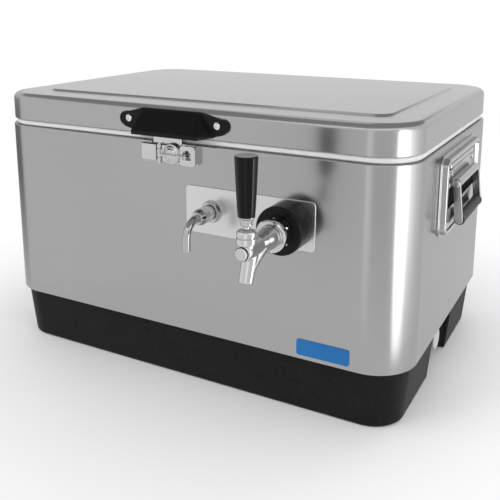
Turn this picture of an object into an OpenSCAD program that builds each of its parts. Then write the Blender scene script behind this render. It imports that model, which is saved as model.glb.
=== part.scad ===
// Jockey box: an insulated steel-belted cooler with a draught tap, a cooling coil,
// a hinged lid, a swing latch, two carry handles and a drain.
// Millimetres. X runs along the box, the front faces -Y, Z is up.
// The origin is the middle of the underside of the base.

/* [Body] */
// Length of the steel belt, end to end
belt_w = 600; // [560:5:660]
// Depth of the steel belt, front to back
belt_d = 412; // [390:2:450]
// Corner radius of the belt, seen from above
corner_r = 54; // [48:1:64]
// Height of the steel belt
belt_h = 245; // [235:1:280]
// Sheet thickness of the belt
belt_t = 0.9; // [0.6:0.1:1.4]
// Width of the hems that are turned in at the belt's edges
hem_w = 7; // [6.5:0.5:9]
// Height of the base tray below the belt
base_h = 73; // [66:1:84]
// Wall of the base tray
base_wall = 4; // [3:0.5:6]
// How far the base's top edge stands back under the belt
base_top_inset = 6; // [5:0.5:8]
// How far the base's foot stands back from the belt
base_foot_inset = 13; // [11:0.5:15]
// Rounding of the base's foot
foot_edge = 4; // [2:0.5:6]
// Half width of the hand notch in each end of the base
notch_half = 46; // [36:1:50]
// Half a wall: from the belt's face to the outside of the tub
wall_t = 32; // [30:1:38]
// Wall of the white tub
tub_wall = 3; // [2.5:0.5:4]
// Insulation under the tub
floor_foam = 21; // [18:1:30]
// Corner radius of the tub
tub_r = 30; // [24:1:36]
// Height of the white band between belt and lid
rim_h = 7; // [6:0.5:9]
// How far the white band stands back from the belt
rim_inset = 4; // [3:0.5:5]

/* [Lid] */
// Height of the lid's steel skirt
lid_h = 36; // [32:1:44]
// Gap between the white band and the lid's skirt
lid_gap = 1; // [0.8:0.1:1.5]
// How far the lid stands back from the belt
lid_inset = 1.5; // [1:0.5:3]
// Sheet thickness of the lid
lid_t = 1; // [0.8:0.1:1.4]
// Radius of the lid's top edge
lid_edge_r = 9; // [6:0.5:12]
// Rise of the lid's pressed panel
panel_rise = 2; // [1:0.5:3]
// Distance from the lid's ends to the pressed panel
panel_margin_x = 42; // [36:1:50]
// Distance from the lid's front and back to the pressed panel
panel_margin_y = 50; // [44:1:58]
// Depth of the lid's plug inside the tub
plug_h = 20; // [12:1:26]

/* [Front fittings] */
// Middle of the inlet fitting, right of the box's middle
inlet_x = 55; // [50:1:60]
// Middle of the tap, right of the box's middle
tap_x = 160; // [155:1:172]
// Height of the fittings below the belt's top edge
fitting_drop = 80; // [74:1:86]
// Length of the faceplate
plate_w = 173; // [166:1:182]
// Height of the faceplate
plate_h = 59; // [58:1:66]
// Thickness of the faceplate
plate_t = 1.5; // [1:0.5:3]
// Outside diameter of the beer tube and the coil
tube_d = 9.5; // [9:0.1:9.6]
// Bend radius at the outlet of the inlet elbow
elbow_r = 20; // [16:1:24]
// Outside diameter of the tap shank
shank_d = 22.2; // [20:0.1:24]
// Radius of the black collar behind the tap
collar_r = 28.5; // [26:0.5:29]
// Length of the black collar
collar_l = 31; // [28:0.5:34]
// Height of the tap's pivot above the shank
lever_arm = 17; // [16:0.5:18]
// Height of the black tap handle
tap_handle_h = 63; // [50:1:80]
// Radius of the tap handle's top
tap_handle_r = 12.2; // [10:0.1:14]

/* [Coil] */
// Radius of the coil, to the middle of the tube
coil_r = 100; // [90:1:104]
// Number of turns of the coil
coil_turns = 24; // [14:1:24]
// Rise of the coil in one turn
coil_pitch = 10; // [10:0.1:10.4]
// Middle of the coil, right of the box's middle
coil_x = 115; // [108:1:122]
// Middle of the coil, in front of the box's middle
coil_y = -5; // [-8:1:10]

/* [Carry handles] */
// Length of the handle plate
dish_w = 188; // [170:1:210]
// Height of the handle plate
dish_h = 100; // [92:1:112]
// Height of the raised frame of the handle plate
dish_rise = 8.3; // [7:0.1:9]
// Drop from the belt's top to the middle of the handle plate
dish_drop = 60; // [56:1:68]
// Length of the grip
grip_l = 105; // [90:1:120]
// Diameter of the grip
grip_d = 14; // [12:0.5:16]
// Distance from the handle's pivot to its grip
bail_h = 45.5; // [40:0.5:50]

/* [Latch and hinges] */
// Radius of the latch's dome
dome_r = 13.2; // [11:0.1:13.5]
// Half length of the lid handle's grip
lid_grip_half = 48; // [44:1:52]
// How far the lid handle stands out
lid_grip_out = 21; // [18:0.5:24]
// Distance of each hinge from the middle
hinge_x = 170; // [120:5:200]
// Width of a hinge
hinge_w = 60; // [50:2:76]
// Radius of a hinge knuckle
knuckle_r = 4.2; // [3.8:0.1:4.4]

/* [Drain and badge] */
// Bore of the drain
drain_bore = 11; // [9:0.5:12]
// Diameter of the drain cap
drain_cap_d = 30; // [26:1:32]
// Middle of the badge, in from the belt's right end
badge_in = 97; // [94:1:120]
// Length of the badge
badge_w = 66; // [50:1:72]
// Height of the badge
badge_h = 20; // [16:1:24]

/* [Hidden] */

$fn = 72;
eps = 0.01;       // overlap that joins two shapes of one piece
cut = 1;          // how far a cutter reaches past what it cuts
seat = 0.2;       // gap between pieces that are foamed, clamped or screwed together
run = 0.08;       // gap of a running fit, on the radius
free = 0.4;       // gap beside pieces that move

front_y = -belt_d / 2;
rear_y = belt_d / 2;
end_x = belt_w / 2;
belt_top = base_h + belt_h;
rim_top = belt_top + rim_h;
lid_z = rim_top + lid_gap;
lid_edge_z = lid_z + lid_h;
lid_top = lid_edge_z + panel_rise;

tub_floor = base_wall + floor_foam + tub_wall;
tub_w = belt_w - 2 * (wall_t + tub_wall);
tub_d = belt_d - 2 * (wall_t + tub_wall);
inner_reach = wall_t + tub_wall;      // from the belt's face to the inside of the tub
tongue_h = 12;                        // part of the base that stands inside the belt
base_cavity_inset = base_foot_inset + foot_edge / 2 + base_wall;
notch_back = tub_w / 2 + tub_wall + seat + base_wall;
notch_r = 14;                         // plan radius of the notch's inner corners

fit_z = belt_top - fitting_drop;
bolt_r = 1.5;                         // shank radius of rivets and screws
bolt_l = 5;                           // how far a rivet or screw reaches into the foam

// ---- shapes that repeat ----

module slab(w, d, h, r) {
    linear_extrude(height = h) union() {
        square([w - 2 * r, d], center = true);
        square([w, d - 2 * r], center = true);
        for (sx = [-1, 1], sy = [-1, 1])
            translate([sx * (w / 2 - r), sy * (d / 2 - r)]) circle(r = r);
    }
}

// A slab that stands back from the belt by inset, from height z up
module body_slab(inset, z, h) {
    translate([0, 0, z]) slab(belt_w - 2 * inset, belt_d - 2 * inset, h, corner_r - inset);
}

// A slab that fills the tub, made smaller by inset
module tub_slab(inset, z, h) {
    translate([0, 0, z]) slab(tub_w - 2 * inset, tub_d - 2 * inset, h, tub_r - inset);
}

// Places a shape on the front of the belt: its +Z points out of the box, its Y is up
module on_front(x, z, out = 0) {
    translate([x, front_y - out, z]) rotate([90, 0, 0]) children();
}

// Places a shape on the back of the belt: its +Z points out of the box, its Y is up
module on_back(x, z, out = 0) {
    translate([x, rear_y + out, z]) rotate([90, 0, 180]) children();
}

// Places a shape on one end: its +Z points out of the box, its X is +Y, its Y is up
module on_end(side, z, out = 0) {
    mirror([side < 0 ? 1 : 0, 0, 0])
        translate([end_x + out, 0, z]) rotate([90, 0, 90]) children();
}

module disc(r, z0, z1, n = 72) {
    translate([0, 0, z0]) cylinder(r = r, h = z1 - z0, $fn = n);
}

module hex(af, z0, z1) {
    translate([0, 0, z0]) cylinder(d = af / cos(30), h = z1 - z0, $fn = 6);
}

module cone(r0, r1, z0, z1) {
    translate([0, 0, z0]) cylinder(r1 = r0, r2 = r1, h = z1 - z0);
}

module ring(r_out, r_in, z0, z1) {
    difference() {
        disc(r_out, z0, z1);
        disc(r_in, z0 - cut, z1 + cut);
    }
}

module box(x0, x1, y0, y1, z0, z1) {
    translate([x0, y0, z0]) cube([x1 - x0, y1 - y0, z1 - z0]);
}

// A pan head screw or a rivet that stands on height z0
module fastener(z0, head_r, head_h, reach) {
    disc(bolt_r, -reach, z0 + eps);
    disc(head_r, z0, z0 + head_h * 0.6);
    cone(head_r, head_r * 0.7, z0 + head_h * 0.6, z0 + head_h);
}

// ---- body ----

module base_tray() {
    flare = foot_edge / 2;
    color("#17181a") difference() {
        union() {
            hull() {
                body_slab(base_foot_inset + flare, 0, eps, $fn = 32);
                body_slab(base_foot_inset, foot_edge, eps, $fn = 32);
                body_slab(base_top_inset, base_h - eps, eps, $fn = 32);
            }
            body_slab(hem_w + seat, base_h - eps, tongue_h);
        }
        difference() {
            body_slab(base_cavity_inset, base_wall, base_h + tongue_h);
            notches(base_wall, base_h + tongue_h + cut);
        }
        notches(0, base_h);
        drain_axis() disc(drain_pipe_r + run, -cut, belt_w);
    }
}

// The hand notches of both ends from below the base up to z1, made larger by grow
module notches(grow, z1) {
    l = 4 * corner_r;
    for (side = [-1, 1])
        translate([side * (notch_back - grow + l / 2), 0, -cut])
            slab(l, 2 * (notch_half + grow), z1 + cut, notch_r + grow);
}

module steel_belt() {
    color("#a9abad") difference() {
        body_slab(0, base_h, belt_h);
        body_slab(belt_t, base_h + belt_t, belt_h - 2 * belt_t);
        body_slab(hem_w, base_h - cut, belt_h + 2 * cut);
        fitting_holes(inlet_thread_r + seat, shank_d / 2 + seat);
        all_bolt_holes();
    }
}

module body_foam() {
    hem_out = hem_w + seat;
    color("#e6dfc0") difference() {
        union() {
            body_slab(belt_t + seat, base_h + tongue_h + seat, belt_h - tongue_h - belt_t - 2 * seat);
            body_slab(hem_out, base_h + tongue_h + seat, belt_h - tongue_h + rim_h - tub_wall - 3 * seat);
            difference() {
                body_slab(base_cavity_inset + seat, base_wall + seat, base_h + tongue_h);
                notches(base_wall + seat, base_h + tongue_h + seat);
            }
        }
        tub_slab(-tub_wall - seat, tub_floor - tub_wall - seat, belt_h + base_h);
        fitting_holes(inlet_thread_r + seat, shank_d / 2 + seat);
        all_bolt_holes();
        drain_axis() disc(drain_pipe_r + run, -cut, belt_w);
    }
}

module tub_liner() {
    color("#f4f4f2") difference() {
        union() {
            difference() {
                body_slab(rim_inset, belt_top, rim_h);
                body_slab(rim_inset + tub_wall, belt_top - cut, rim_h - tub_wall + cut);
            }
            tub_slab(-tub_wall, tub_floor - tub_wall, rim_top - tub_floor + tub_wall);
        }
        tub_slab(0, tub_floor, belt_h + base_h);
        fitting_holes(inlet_thread_r + seat, shank_d / 2 + seat);
        drain_axis() disc(drain_pipe_r + run, -cut, belt_w);
    }
}

module fitting_holes(inlet_hole_r, tap_hole_r) {
    on_front(inlet_x, fit_z) disc(inlet_hole_r, -inner_reach - cut, cut);
    on_front(tap_x, fit_z) disc(tap_hole_r, -inner_reach - cut, cut);
}

// Every hole that a rivet or screw needs in the belt and the foam behind it
module all_bolt_holes() {
    reach = bolt_l + seat;
    latch_bolts() disc(bolt_r + seat, -reach, cut);
    for (side = [-1, 1])
        dish_bolts(side) disc(bolt_r + seat, -reach, cut);
    hinge_bolts(body_screw_z) disc(bolt_r + seat, -reach, cut);
}

// ---- drain, in the notch of the right end ----

drain_pipe_r = drain_bore / 2 + 2;
drain_z = tub_floor + drain_pipe_r + seat;
drain_flange_t = 2.5;
drain_gasket_t = 1.5;
drain_nut_t = 5;
drain_pipe_out = 11;                  // how far the pipe stands out of the notch's back wall
cap_wall = 2.7;

// Its +Z points out of the box, and its zero is the inside face of the tub
module drain_axis() {
    translate([tub_w / 2, 0, drain_z]) rotate([0, 90, 0]) children();
}

drain_wall = notch_back - tub_w / 2;  // tub, gap and base wall that the pipe passes

module drain_body() {
    color("#d9d9d6") drain_axis() difference() {
        union() {
            disc(drain_pipe_r, -drain_gasket_t - seat, drain_wall + drain_pipe_out);
            disc(drain_pipe_r + 5.5, -drain_gasket_t - drain_flange_t - seat, -drain_gasket_t - seat);
            ring_ridge(drain_pipe_r, drain_wall + drain_pipe_out - 3);
        }
        disc(drain_bore / 2, -3 * cut - drain_gasket_t - drain_flange_t, belt_w);
        // the flange is cut flat where it stands on the tub's floor
        translate([drain_pipe_r + seat / 2, -belt_w / 2, -belt_w / 2]) cube(belt_w);
    }
}

// The low ridge that the drain cap snaps over
module ring_ridge(r, z) {
    disc(r + run / 2, z, z + 1.2);
}

module drain_gasket() {
    color("#202020") drain_axis() difference() {
        disc(drain_pipe_r + 4.5, -drain_gasket_t - seat / 2, -seat / 2);
        disc(drain_pipe_r + run, -3 * cut, 3 * cut);
        translate([drain_pipe_r + seat / 2, -belt_w / 2, -belt_w / 2]) cube(belt_w);
    }
}

module drain_nut() {
    color("#c9c9c6") drain_axis() difference() {
        hex(2 * drain_pipe_r + 9, drain_wall + seat / 2, drain_wall + drain_nut_t);
        disc(drain_pipe_r + run, 0, belt_w);
    }
}

module drain_cap() {
    z0 = drain_wall + drain_nut_t + free;
    z1 = drain_wall + drain_pipe_out + free;
    color("#dcdcda") drain_axis() difference() {
        union() {
            disc(drain_cap_d / 2, z0, z1 + cap_wall - 1);
            cone(drain_cap_d / 2, drain_cap_d / 2 - 1.5, z1 + cap_wall - 1, z1 + cap_wall);
        }
        disc(drain_pipe_r + 2 * run, z0 - cut, z1);
        for (a = [0 : 15 : 345])
            rotate(a) translate([drain_cap_d / 2 + 0.6, 0, z0 - cut])
                cylinder(r = 1.2, h = z1 - z0 + cap_wall + 2 * cut, $fn = 16);
    }
}

// ---- faceplate and badge ----

plate_x = (inlet_x + tap_x) / 2 - 2.5;

module faceplate() {
    color("#c4c6c8") difference() {
        on_front(plate_x, fit_z) slab(plate_w, plate_h, plate_t, 5);
        fitting_holes(inlet_thread_r + seat, shank_d / 2 + seat);
        on_front(inlet_x, fit_z) disc(inlet_thread_r + seat, -cut, plate_t + cut);
        on_front(tap_x, fit_z) disc(shank_d / 2 + seat, -cut, plate_t + cut);
    }
}

badge_x = end_x - badge_in;
badge_z = base_h + 16;

module badge_plate() {
    color("#2f7fc1") on_front(badge_x, badge_z) slab(badge_w, badge_h, 1.2, 3);
}

// ---- inlet: a bulkhead fitting with a bent tube outside ----

inlet_thread_r = 6.35;
inlet_bore_r = tube_d / 2 - 1.5;
inlet_nut_t = 6.5;
inlet_body_r = 9.8;
inlet_body_end = 35;                  // how far the fitting stands out of the belt
inlet_shank_out = 20;
shank_tail = 14;                      // how far a shank reaches into the tub
lock_nut_t = 6;
tail_nut_grip = 5;                    // thread of a tail nut on its shank
tail_nut_l = 18;

module inlet_shank() {
    color("#c8cacc") on_front(inlet_x, fit_z)
        ring(inlet_thread_r, inlet_bore_r, -inner_reach - shank_tail, inlet_shank_out);
}

module inlet_hex_nut() {
    color("#c8cacc") on_front(inlet_x, fit_z) difference() {
        union() {
            disc(14.1, plate_t, plate_t + 1.4);
            hex(24, plate_t + 1.4 - eps, plate_t + inlet_nut_t);
        }
        disc(inlet_thread_r + run, 0, 2 * inlet_nut_t);
    }
}

module inlet_fitting() {
    z0 = plate_t + inlet_nut_t;
    step = inlet_body_end - 6;
    color("#c8cacc") on_front(inlet_x, fit_z) difference() {
        union() {
            disc(inlet_body_r - 1, z0, z0 + 2);
            disc(inlet_body_r, z0 + 2 - eps, step);
            cone(inlet_body_r, inlet_body_r - 2.4, step - eps, inlet_body_end);
        }
        disc(inlet_thread_r + run, z0 - cut, inlet_shank_out + seat);
        disc(tube_d / 2 + run, inlet_shank_out, inlet_body_end + cut);
    }
}

elbow_leg = 13.5;                     // straight leg below the elbow's bend
elbow_start = inlet_shank_out + seat;
elbow_bend = inlet_body_end + 2;

module tube_leg(l) {
    ring(tube_d / 2, inlet_bore_r, 0, l);
}

module inlet_elbow() {
    color("#cfd1d3") on_front(inlet_x, fit_z) union() {
        translate([0, 0, elbow_start]) tube_leg(elbow_bend - elbow_start);
        translate([0, -elbow_r, elbow_bend]) rotate([0, -90, 0])
            rotate_extrude(angle = 90) translate([elbow_r, 0]) difference() {
                circle(r = tube_d / 2);
                circle(r = inlet_bore_r);
            }
        translate([0, -elbow_r, elbow_bend + elbow_r]) rotate([90, 0, 0]) tube_leg(elbow_leg);
    }
}

module lock_nut(thread_r, af) {
    difference() {
        union() {
            disc(af / 2 + 3, -inner_reach - 1.5, -inner_reach - seat / 2);
            hex(af, -inner_reach - lock_nut_t, -inner_reach - 1.5 + eps);
        }
        disc(thread_r + run, -2 * inner_reach, 0);
    }
}

// Nut that clamps the end of the coil to the end of a shank
module tail_nut(thread_r, af) {
    end = -inner_reach - shank_tail;
    difference() {
        hex(af, end - tail_nut_l + tail_nut_grip, end + tail_nut_grip);
        disc(thread_r + run, end - seat, 0);
        disc(tube_d / 2 + seat, end - 2 * tail_nut_l, end);
    }
}

module inlet_lock_nut() {
    color("#b9bbbd") on_front(inlet_x, fit_z) lock_nut(inlet_thread_r, 19);
}

module inlet_tail_nut() {
    color("#c2a35a") on_front(inlet_x, fit_z) tail_nut(inlet_thread_r, 17);
}

// ---- tap: shank, collar, coupling nut and faucet ----

shank_bore_r = 4;
shank_head_r = 14.3;
collar_end = plate_t + collar_l;
shank_head_z0 = collar_end + 0.5;
shank_head_z1 = shank_head_z0 + 11;
nut_end = shank_head_z1 + 9;
nut_r = 18.6;
nut_lip = 3;

module faucet_shank() {
    color("#c8cacc") on_front(tap_x, fit_z) difference() {
        union() {
            disc(shank_d / 2, -inner_reach - shank_tail, shank_head_z0 + eps);
            disc(shank_head_r, shank_head_z0, shank_head_z1);
        }
        disc(shank_bore_r, -2 * inner_reach, shank_head_z1 + cut);
        // turned down at the tail for its nut
        ring(shank_d, tail_thread_r, -inner_reach - shank_tail - cut, -inner_reach - lock_nut_t - 1);
    }
}

tail_thread_r = 8;

module shank_collar() {
    lip = 3;
    color("#101113") on_front(tap_x, fit_z) difference() {
        union() {
            disc(collar_r, plate_t, collar_end - lip);
            cone(collar_r, collar_r - 2.5, collar_end - lip - eps, collar_end);
        }
        disc(shank_d / 2 + seat, 0, 2 * collar_l);
    }
}

module shank_lock_nut() {
    color("#b9bbbd") on_front(tap_x, fit_z) lock_nut(shank_d / 2, 30);
}

module shank_tail_nut() {
    color("#c2a35a") on_front(tap_x, fit_z) tail_nut(tail_thread_r, 21);
}

module coupling_nut() {
    color("#d4d6d8") on_front(tap_x, fit_z) difference() {
        union() {
            disc(nut_r, shank_head_z0, nut_end - 1.5);
            cone(nut_r, nut_r - 1.5, nut_end - 1.5 - eps, nut_end);
        }
        disc(shank_head_r + run, shank_head_z0 - cut, nut_end - nut_lip);
        disc(body_neck_r + seat, 0, nut_end + cut);
        for (a = [30 : 60 : 330])
            rotate(a) translate([shank_head_r + 2, 0, (shank_head_z0 + nut_end) / 2])
                rotate([0, 90, 0]) cylinder(r = 1.6, h = nut_r, $fn = 24);
    }
}

body_flange_z0 = shank_head_z1 + seat;
body_neck_r = 11.4;
body_cone_z0 = nut_end + 1;
body_cone_z1 = nut_end + 28;
barrel_r = 9.5;
tap_y = nut_end + 51.5;               // from the belt's face out to the lever's pivot
barrel_end = tap_y + 9;
shaft_r = 6;                          // bore that the shaft slides in
seat_z = nut_end + 9;                 // where the seal meets the body
seat_t = 5;
seal_t = 3;
pivot_r = 8;
socket_r = barrel_r - 1.1;            // the upright neck that carries the lever's ball
socket_top = lever_arm - 5;           // heights here are above the shaft's middle
bonnet_r = 10.8;
bonnet_top = lever_arm + 5.5;
bonnet_low = lever_arm - 9;
stem_r = 3.2;
arm_tip_r = 3.8;

// The tap's own frame: origin at the shaft's middle under the pivot, Z up, -Y out
module tap_frame() {
    translate([tap_x, front_y - tap_y, fit_z]) children();
}

// Its -Z runs down the spout
module spout_frame() {
    spout_lean = 19;
    spout_back = 10;                  // how far the spout starts behind the pivot
    tap_frame() translate([0, spout_back, 0]) rotate([-spout_lean, 0, 0]) children();
}

module faucet_body() {
    spout_r = 7.6;
    spout_bore_r = 5;
    spout_l = 36;
    color("#d2d4d6") difference() {
        union() {
            on_front(tap_x, fit_z) {
                disc(shank_head_r - 0.5, body_flange_z0, nut_end - nut_lip - seat);
                disc(body_neck_r, body_flange_z0, body_cone_z0 + eps);
                cone(13.5, barrel_r, body_cone_z0, body_cone_z1);
                disc(barrel_r, body_cone_z1 - eps, barrel_end);
            }
            tap_frame() disc(socket_r, 0, socket_top);
            spout_frame() cone(spout_r, spout_r + 0.9, -spout_l, 0);
        }
        on_front(tap_x, fit_z) {
            disc(shaft_r + 1, body_flange_z0 - cut, seat_z);
            disc(shaft_r - 1.8, seat_z - cut, seat_z + seat_t + cut);
            disc(shaft_r, seat_z + seat_t, barrel_end - 2);
            disc(4, barrel_end - 3, barrel_end + cut);
        }
        tap_frame() {
            translate([0, 0, lever_arm]) sphere(r = pivot_r + run);
            // slots that the lever's arm swings in
            box(-3, 3, -3, 9, 0, socket_top - 3);
            box(-3, 3, -3, 6.8, 0, socket_top + cut);
        }
        spout_frame() disc(spout_bore_r, -spout_l - cut, 0);
    }
}

module faucet_front_cap() {
    color("#cfd1d3") on_front(tap_x, fit_z) union() {
        disc(4 - run, barrel_end - 1.8, barrel_end + eps);
        disc(6.8, barrel_end, barrel_end + 1.5);
        cone(6.8, 5.2, barrel_end + 1.5 - eps, barrel_end + 3);
    }
}

module lever_bonnet() {
    color("#d2d4d6") tap_frame() difference() {
        union() {
            disc(bonnet_r, bonnet_low, bonnet_top - 1);
            cone(bonnet_r, bonnet_r - 1, bonnet_top - 1 - eps, bonnet_top);
        }
        disc(socket_r + run, bonnet_low - cut, socket_top + free);
        translate([0, 0, lever_arm]) sphere(r = pivot_r + run);
        disc(pivot_r + run, socket_top, lever_arm);
        cone(6.2, 7.4, lever_arm + 0.8, bonnet_top + eps);
        // it straddles the barrel
        rotate([90, 0, 0]) disc(barrel_r + seat, -2 * bonnet_r, 2 * bonnet_r);
    }
}

ferrule_z0 = lever_arm + 10.5;
ferrule_z1 = ferrule_z0 + 10;

module faucet_lever() {
    color("#c8cacc") tap_frame() union() {
        translate([0, 0, lever_arm]) sphere(r = pivot_r);
        disc(stem_r, lever_arm, ferrule_z1);
        disc(2, 0, lever_arm);
        sphere(r = arm_tip_r);
    }
}

module tap_ferrule() {
    color("#d4d6d8") tap_frame() difference() {
        union() {
            cone(6, 7.6, ferrule_z0, ferrule_z1 - 2);
            cone(7.6, 9, ferrule_z1 - 2 - eps, ferrule_z1);
        }
        disc(stem_r + run, ferrule_z0 - cut, ferrule_z1 + cut);
    }
}

module tap_handle() {
    z0 = ferrule_z1 + eps;
    z1 = z0 + tap_handle_h;
    color("#0c0d0f") tap_frame() union() {
        disc(9, z0, z0 + 1);
        cone(9, tap_handle_r, z0 + 1 - eps, z1 - 2);
        cone(tap_handle_r, tap_handle_r - 1.5, z1 - 2 - eps, z1);
    }
}

shaft_front = 6.4;                    // the shaft's guided end, either side of the pivot
shaft_rear = 8;

module faucet_shaft() {
    rod_r = 2.2;
    color("#b4b6b8") difference() {
        on_front(tap_x, fit_z) union() {
            disc(shaft_r - run, tap_y - shaft_rear, tap_y + shaft_front);
            disc(rod_r, seat_z - seal_t - 1.5, tap_y - shaft_rear + eps);
            disc(rod_r + 1.2, seat_z - seal_t - 2.5, seat_z - seal_t - seat);
        }
        tap_frame() disc(arm_tip_r + 1.1, -shaft_r, shaft_r);
    }
}

module shaft_seal() {
    color("#2a2a2a") on_front(tap_x, fit_z) difference() {
        disc(shaft_r - 0.4, seat_z - seal_t, seat_z - seat / 2);
        disc(2.2 + run, 0, 2 * seat_z);
    }
}

// ---- cooling coil: one tube from the inlet's tail to the tap's tail ----

lead_bend = 20;                       // bend radius of the leads
lead_straight = tail_nut_l - tail_nut_grip + 1;
tail_y = front_y + inner_reach + shank_tail + eps;
run_y = tail_y + lead_straight + lead_bend;
coil_z0 = tub_floor + tube_d / 2 + seat;
rings_per_turn = 24;
lead_rings = 5;

function unit(v) = v / norm(v);
// Points on a quarter of a circle round c, from c + r * u to c + r * v
function bend(c, u, v, r) = [for (i = [0 : lead_rings])
    let (a = 90 * i / lead_rings) c + r * (cos(a) * u + sin(a) * v)];
// Where a level line from the point (x, run_y) touches the coil, as an angle
function lead_angle(x, way) = let (v = [x - coil_x, run_y - coil_y])
    atan2(v[1], v[0]) + way * acos(coil_r / norm(v));
function on_coil(a, z) = [coil_x + coil_r * cos(a), coil_y + coil_r * sin(a), z];

a_in = lead_angle(inlet_x, 1);
a_out = lead_angle(tap_x, -1) + 360 * coil_turns;
coil_z1 = coil_z0 + coil_pitch * (a_out - a_in) / 360;
dir_in = [-sin(a_in), cos(a_in), 0];
dir_out = [-sin(a_out), cos(a_out), 0];
up = [0, 0, 1];
back = [0, 1, 0];
coil_steps = round((a_out - a_in) * rings_per_turn / 360);

coil_path = concat(
    [[inlet_x, tail_y, fit_z]],
    bend([inlet_x, run_y - lead_bend, fit_z - lead_bend], up, back, lead_bend),
    bend([inlet_x, run_y, coil_z0 + lead_bend] + lead_bend * dir_in, -dir_in, -up, lead_bend),
    [for (i = [0 : coil_steps]) let (s = i / coil_steps)
        on_coil(a_in + (a_out - a_in) * s, coil_z0 + (coil_z1 - coil_z0) * s)],
    bend([tap_x, run_y, coil_z1 - lead_bend] - lead_bend * dir_out, up, dir_out, lead_bend),
    bend([tap_x, run_y - lead_bend, fit_z + lead_bend], back, -up, lead_bend),
    [[tap_x, tail_y, fit_z]]);

// Sweeps a six-sided tube along the points, with its frame carried on from ring to ring
module tube_sweep(path, r) {
    n = len(path);
    sides = 6;
    tangents = [for (i = [0 : n - 1]) unit(path[min(i + 1, n - 1)] - path[max(i - 1, 0)])];
    first = unit(cross(tangents[0], up));
    normals = [for (i = 0, v = first; i < n; i = i + 1,
        v = i < n ? unit(v - (v * tangents[i]) * tangents[i]) : v) v];
    points = [for (i = [0 : n - 1]) let (s = cross(tangents[i], normals[i]))
        for (k = [0 : sides - 1]) path[i] + r * (cos(60 * k) * normals[i] + sin(60 * k) * s)];
    walls = [for (i = [0 : n - 2], k = [0 : sides - 1])
        let (a = i * sides + k, b = i * sides + (k + 1) % sides)
        for (f = [[a, b, b + sides], [a, b + sides, a + sides]]) f];
    polyhedron(points = points, faces = concat(walls,
        [for (k = [1 : sides - 2]) [0, k + 1, k]],
        [for (k = [1 : sides - 2]) [(n - 1) * sides, (n - 1) * sides + k, (n - 1) * sides + k + 1]]));
}

module cooling_coil() {
    n = len(coil_path);
    apart = 12;                       // rings this close along the tube are neighbours
    gap = min([for (i = [0 : n - 1], j = [i + apart : 1 : n - 1]) norm(coil_path[i] - coil_path[j])])
        - tube_d;
    length = [for (i = 0, s = 0; i < n; i = i + 1,
        s = i < n ? s + norm(coil_path[i] - coil_path[i - 1]) : s) s][n - 1];
    echo("coil: least gap to itself", gap, "length of the tube", length);
    color("#b7babd") tube_sweep(coil_path, tube_d / 2);
}

// ---- lid ----

module lid_slab(inset, z, h) {
    body_slab(lid_inset + inset, z, h);
}

// A slab from z0 to z1 whose top edge is rounded with radius e
module pillow(w, d, r, e, z0, z1) {
    h = z1 - z0;
    translate([0, 0, z0]) union() {
        for (sx = [-1, 1], sy = [-1, 1])
            translate([sx * (w / 2 - r), sy * (d / 2 - r), 0]) rotate_extrude() intersection() {
                pillow_profile(2 * r, h, e);
                square([r + cut, h]);
            }
        rotate([90, 0, 90]) translate([0, 0, r - w / 2])
            linear_extrude(height = w - 2 * r) pillow_profile(d, h, e);
        rotate([90, 0, 0]) translate([0, 0, r - d / 2])
            linear_extrude(height = d - 2 * r) pillow_profile(w, h, e);
    }
}

module pillow_profile(w, h, e) {
    translate([-w / 2, 0]) square([w, h - e]);
    translate([e - w / 2, 0]) square([w - 2 * e, h]);
    for (side = [-1, 1])
        translate([side * (w / 2 - e), h - e]) circle(r = e);
}

// The lid's outside, made smaller by t on all sides
module lid_form(t, z0) {
    pillow(belt_w - 2 * (lid_inset + t), belt_d - 2 * (lid_inset + t), corner_r - lid_inset - t,
        lid_edge_r - t, z0, lid_edge_z - t);
}

panel_w = belt_w - 2 * (lid_inset + panel_margin_x);
panel_d = belt_d - 2 * (lid_inset + panel_margin_y);
panel_r = 20;

module lid_skin() {
    back_off = lid_t + 1;
    color("#b5b7b9") difference() {
        union() {
            lid_form(0, lid_z);
            pillow(panel_w, panel_d, panel_r, panel_rise * 0.8, lid_edge_z - lid_t / 2, lid_top);
        }
        lid_form(lid_t, lid_z - cut);
        translate([0, 0, lid_edge_z - 2 * lid_t]) slab(panel_w - 2 * back_off, panel_d - 2 * back_off,
            panel_rise + lid_t, panel_r - back_off);
        lid_bolts() disc(bolt_r + seat, -lid_inset - bolt_l - seat, cut);
        hinge_bolts(lid_screw_z) disc(bolt_r + seat, -lid_inset - bolt_l - seat, cut);
    }
}

flange_z = rim_top + 2;               // underside of the lid's inner pan
pan_t = 3;
plug_clear = 3;

module lid_liner() {
    plug_z = flange_z - plug_h;
    color("#f4f4f2") difference() {
        union() {
            lid_slab(lid_t + seat, flange_z, pan_t);
            tub_slab(plug_clear, plug_z, plug_h + pan_t - eps);
        }
        tub_slab(plug_clear + pan_t, plug_z + pan_t, plug_h + pan_t);
        lid_bolt_room();
    }
}

// Room for the screws that pass through the lid's skirt
module lid_bolt_room() {
    lid_bolts() disc(bolt_r + seat, -lid_inset - bolt_l - seat, cut);
    hinge_bolts(lid_screw_z) disc(bolt_r + seat, -lid_inset - bolt_l - seat, cut);
}

module lid_foam() {
    foot = flange_z + pan_t + seat;
    shoulder = lid_edge_z - lid_edge_r - seat;
    color("#e6dfc0") difference() {
        union() {
            tub_slab(plug_clear + pan_t + seat, flange_z - plug_h + pan_t + seat, plug_h + 2 * pan_t);
            lid_slab(lid_t + seat, foot, shoulder - foot);
            lid_slab(lid_edge_r, shoulder - eps, lid_edge_z - lid_t - seat - shoulder);
        }
        lid_bolt_room();
    }
}

gasket_w = 8;
gasket_inset = 15;                    // from the belt's face

module lid_gasket() {
    color("#c9c9c4") difference() {
        body_slab(gasket_inset, rim_top + seat, flange_z - rim_top - seat);
        body_slab(gasket_inset + gasket_w, rim_top, flange_z - rim_top + cut);
    }
}

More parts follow.
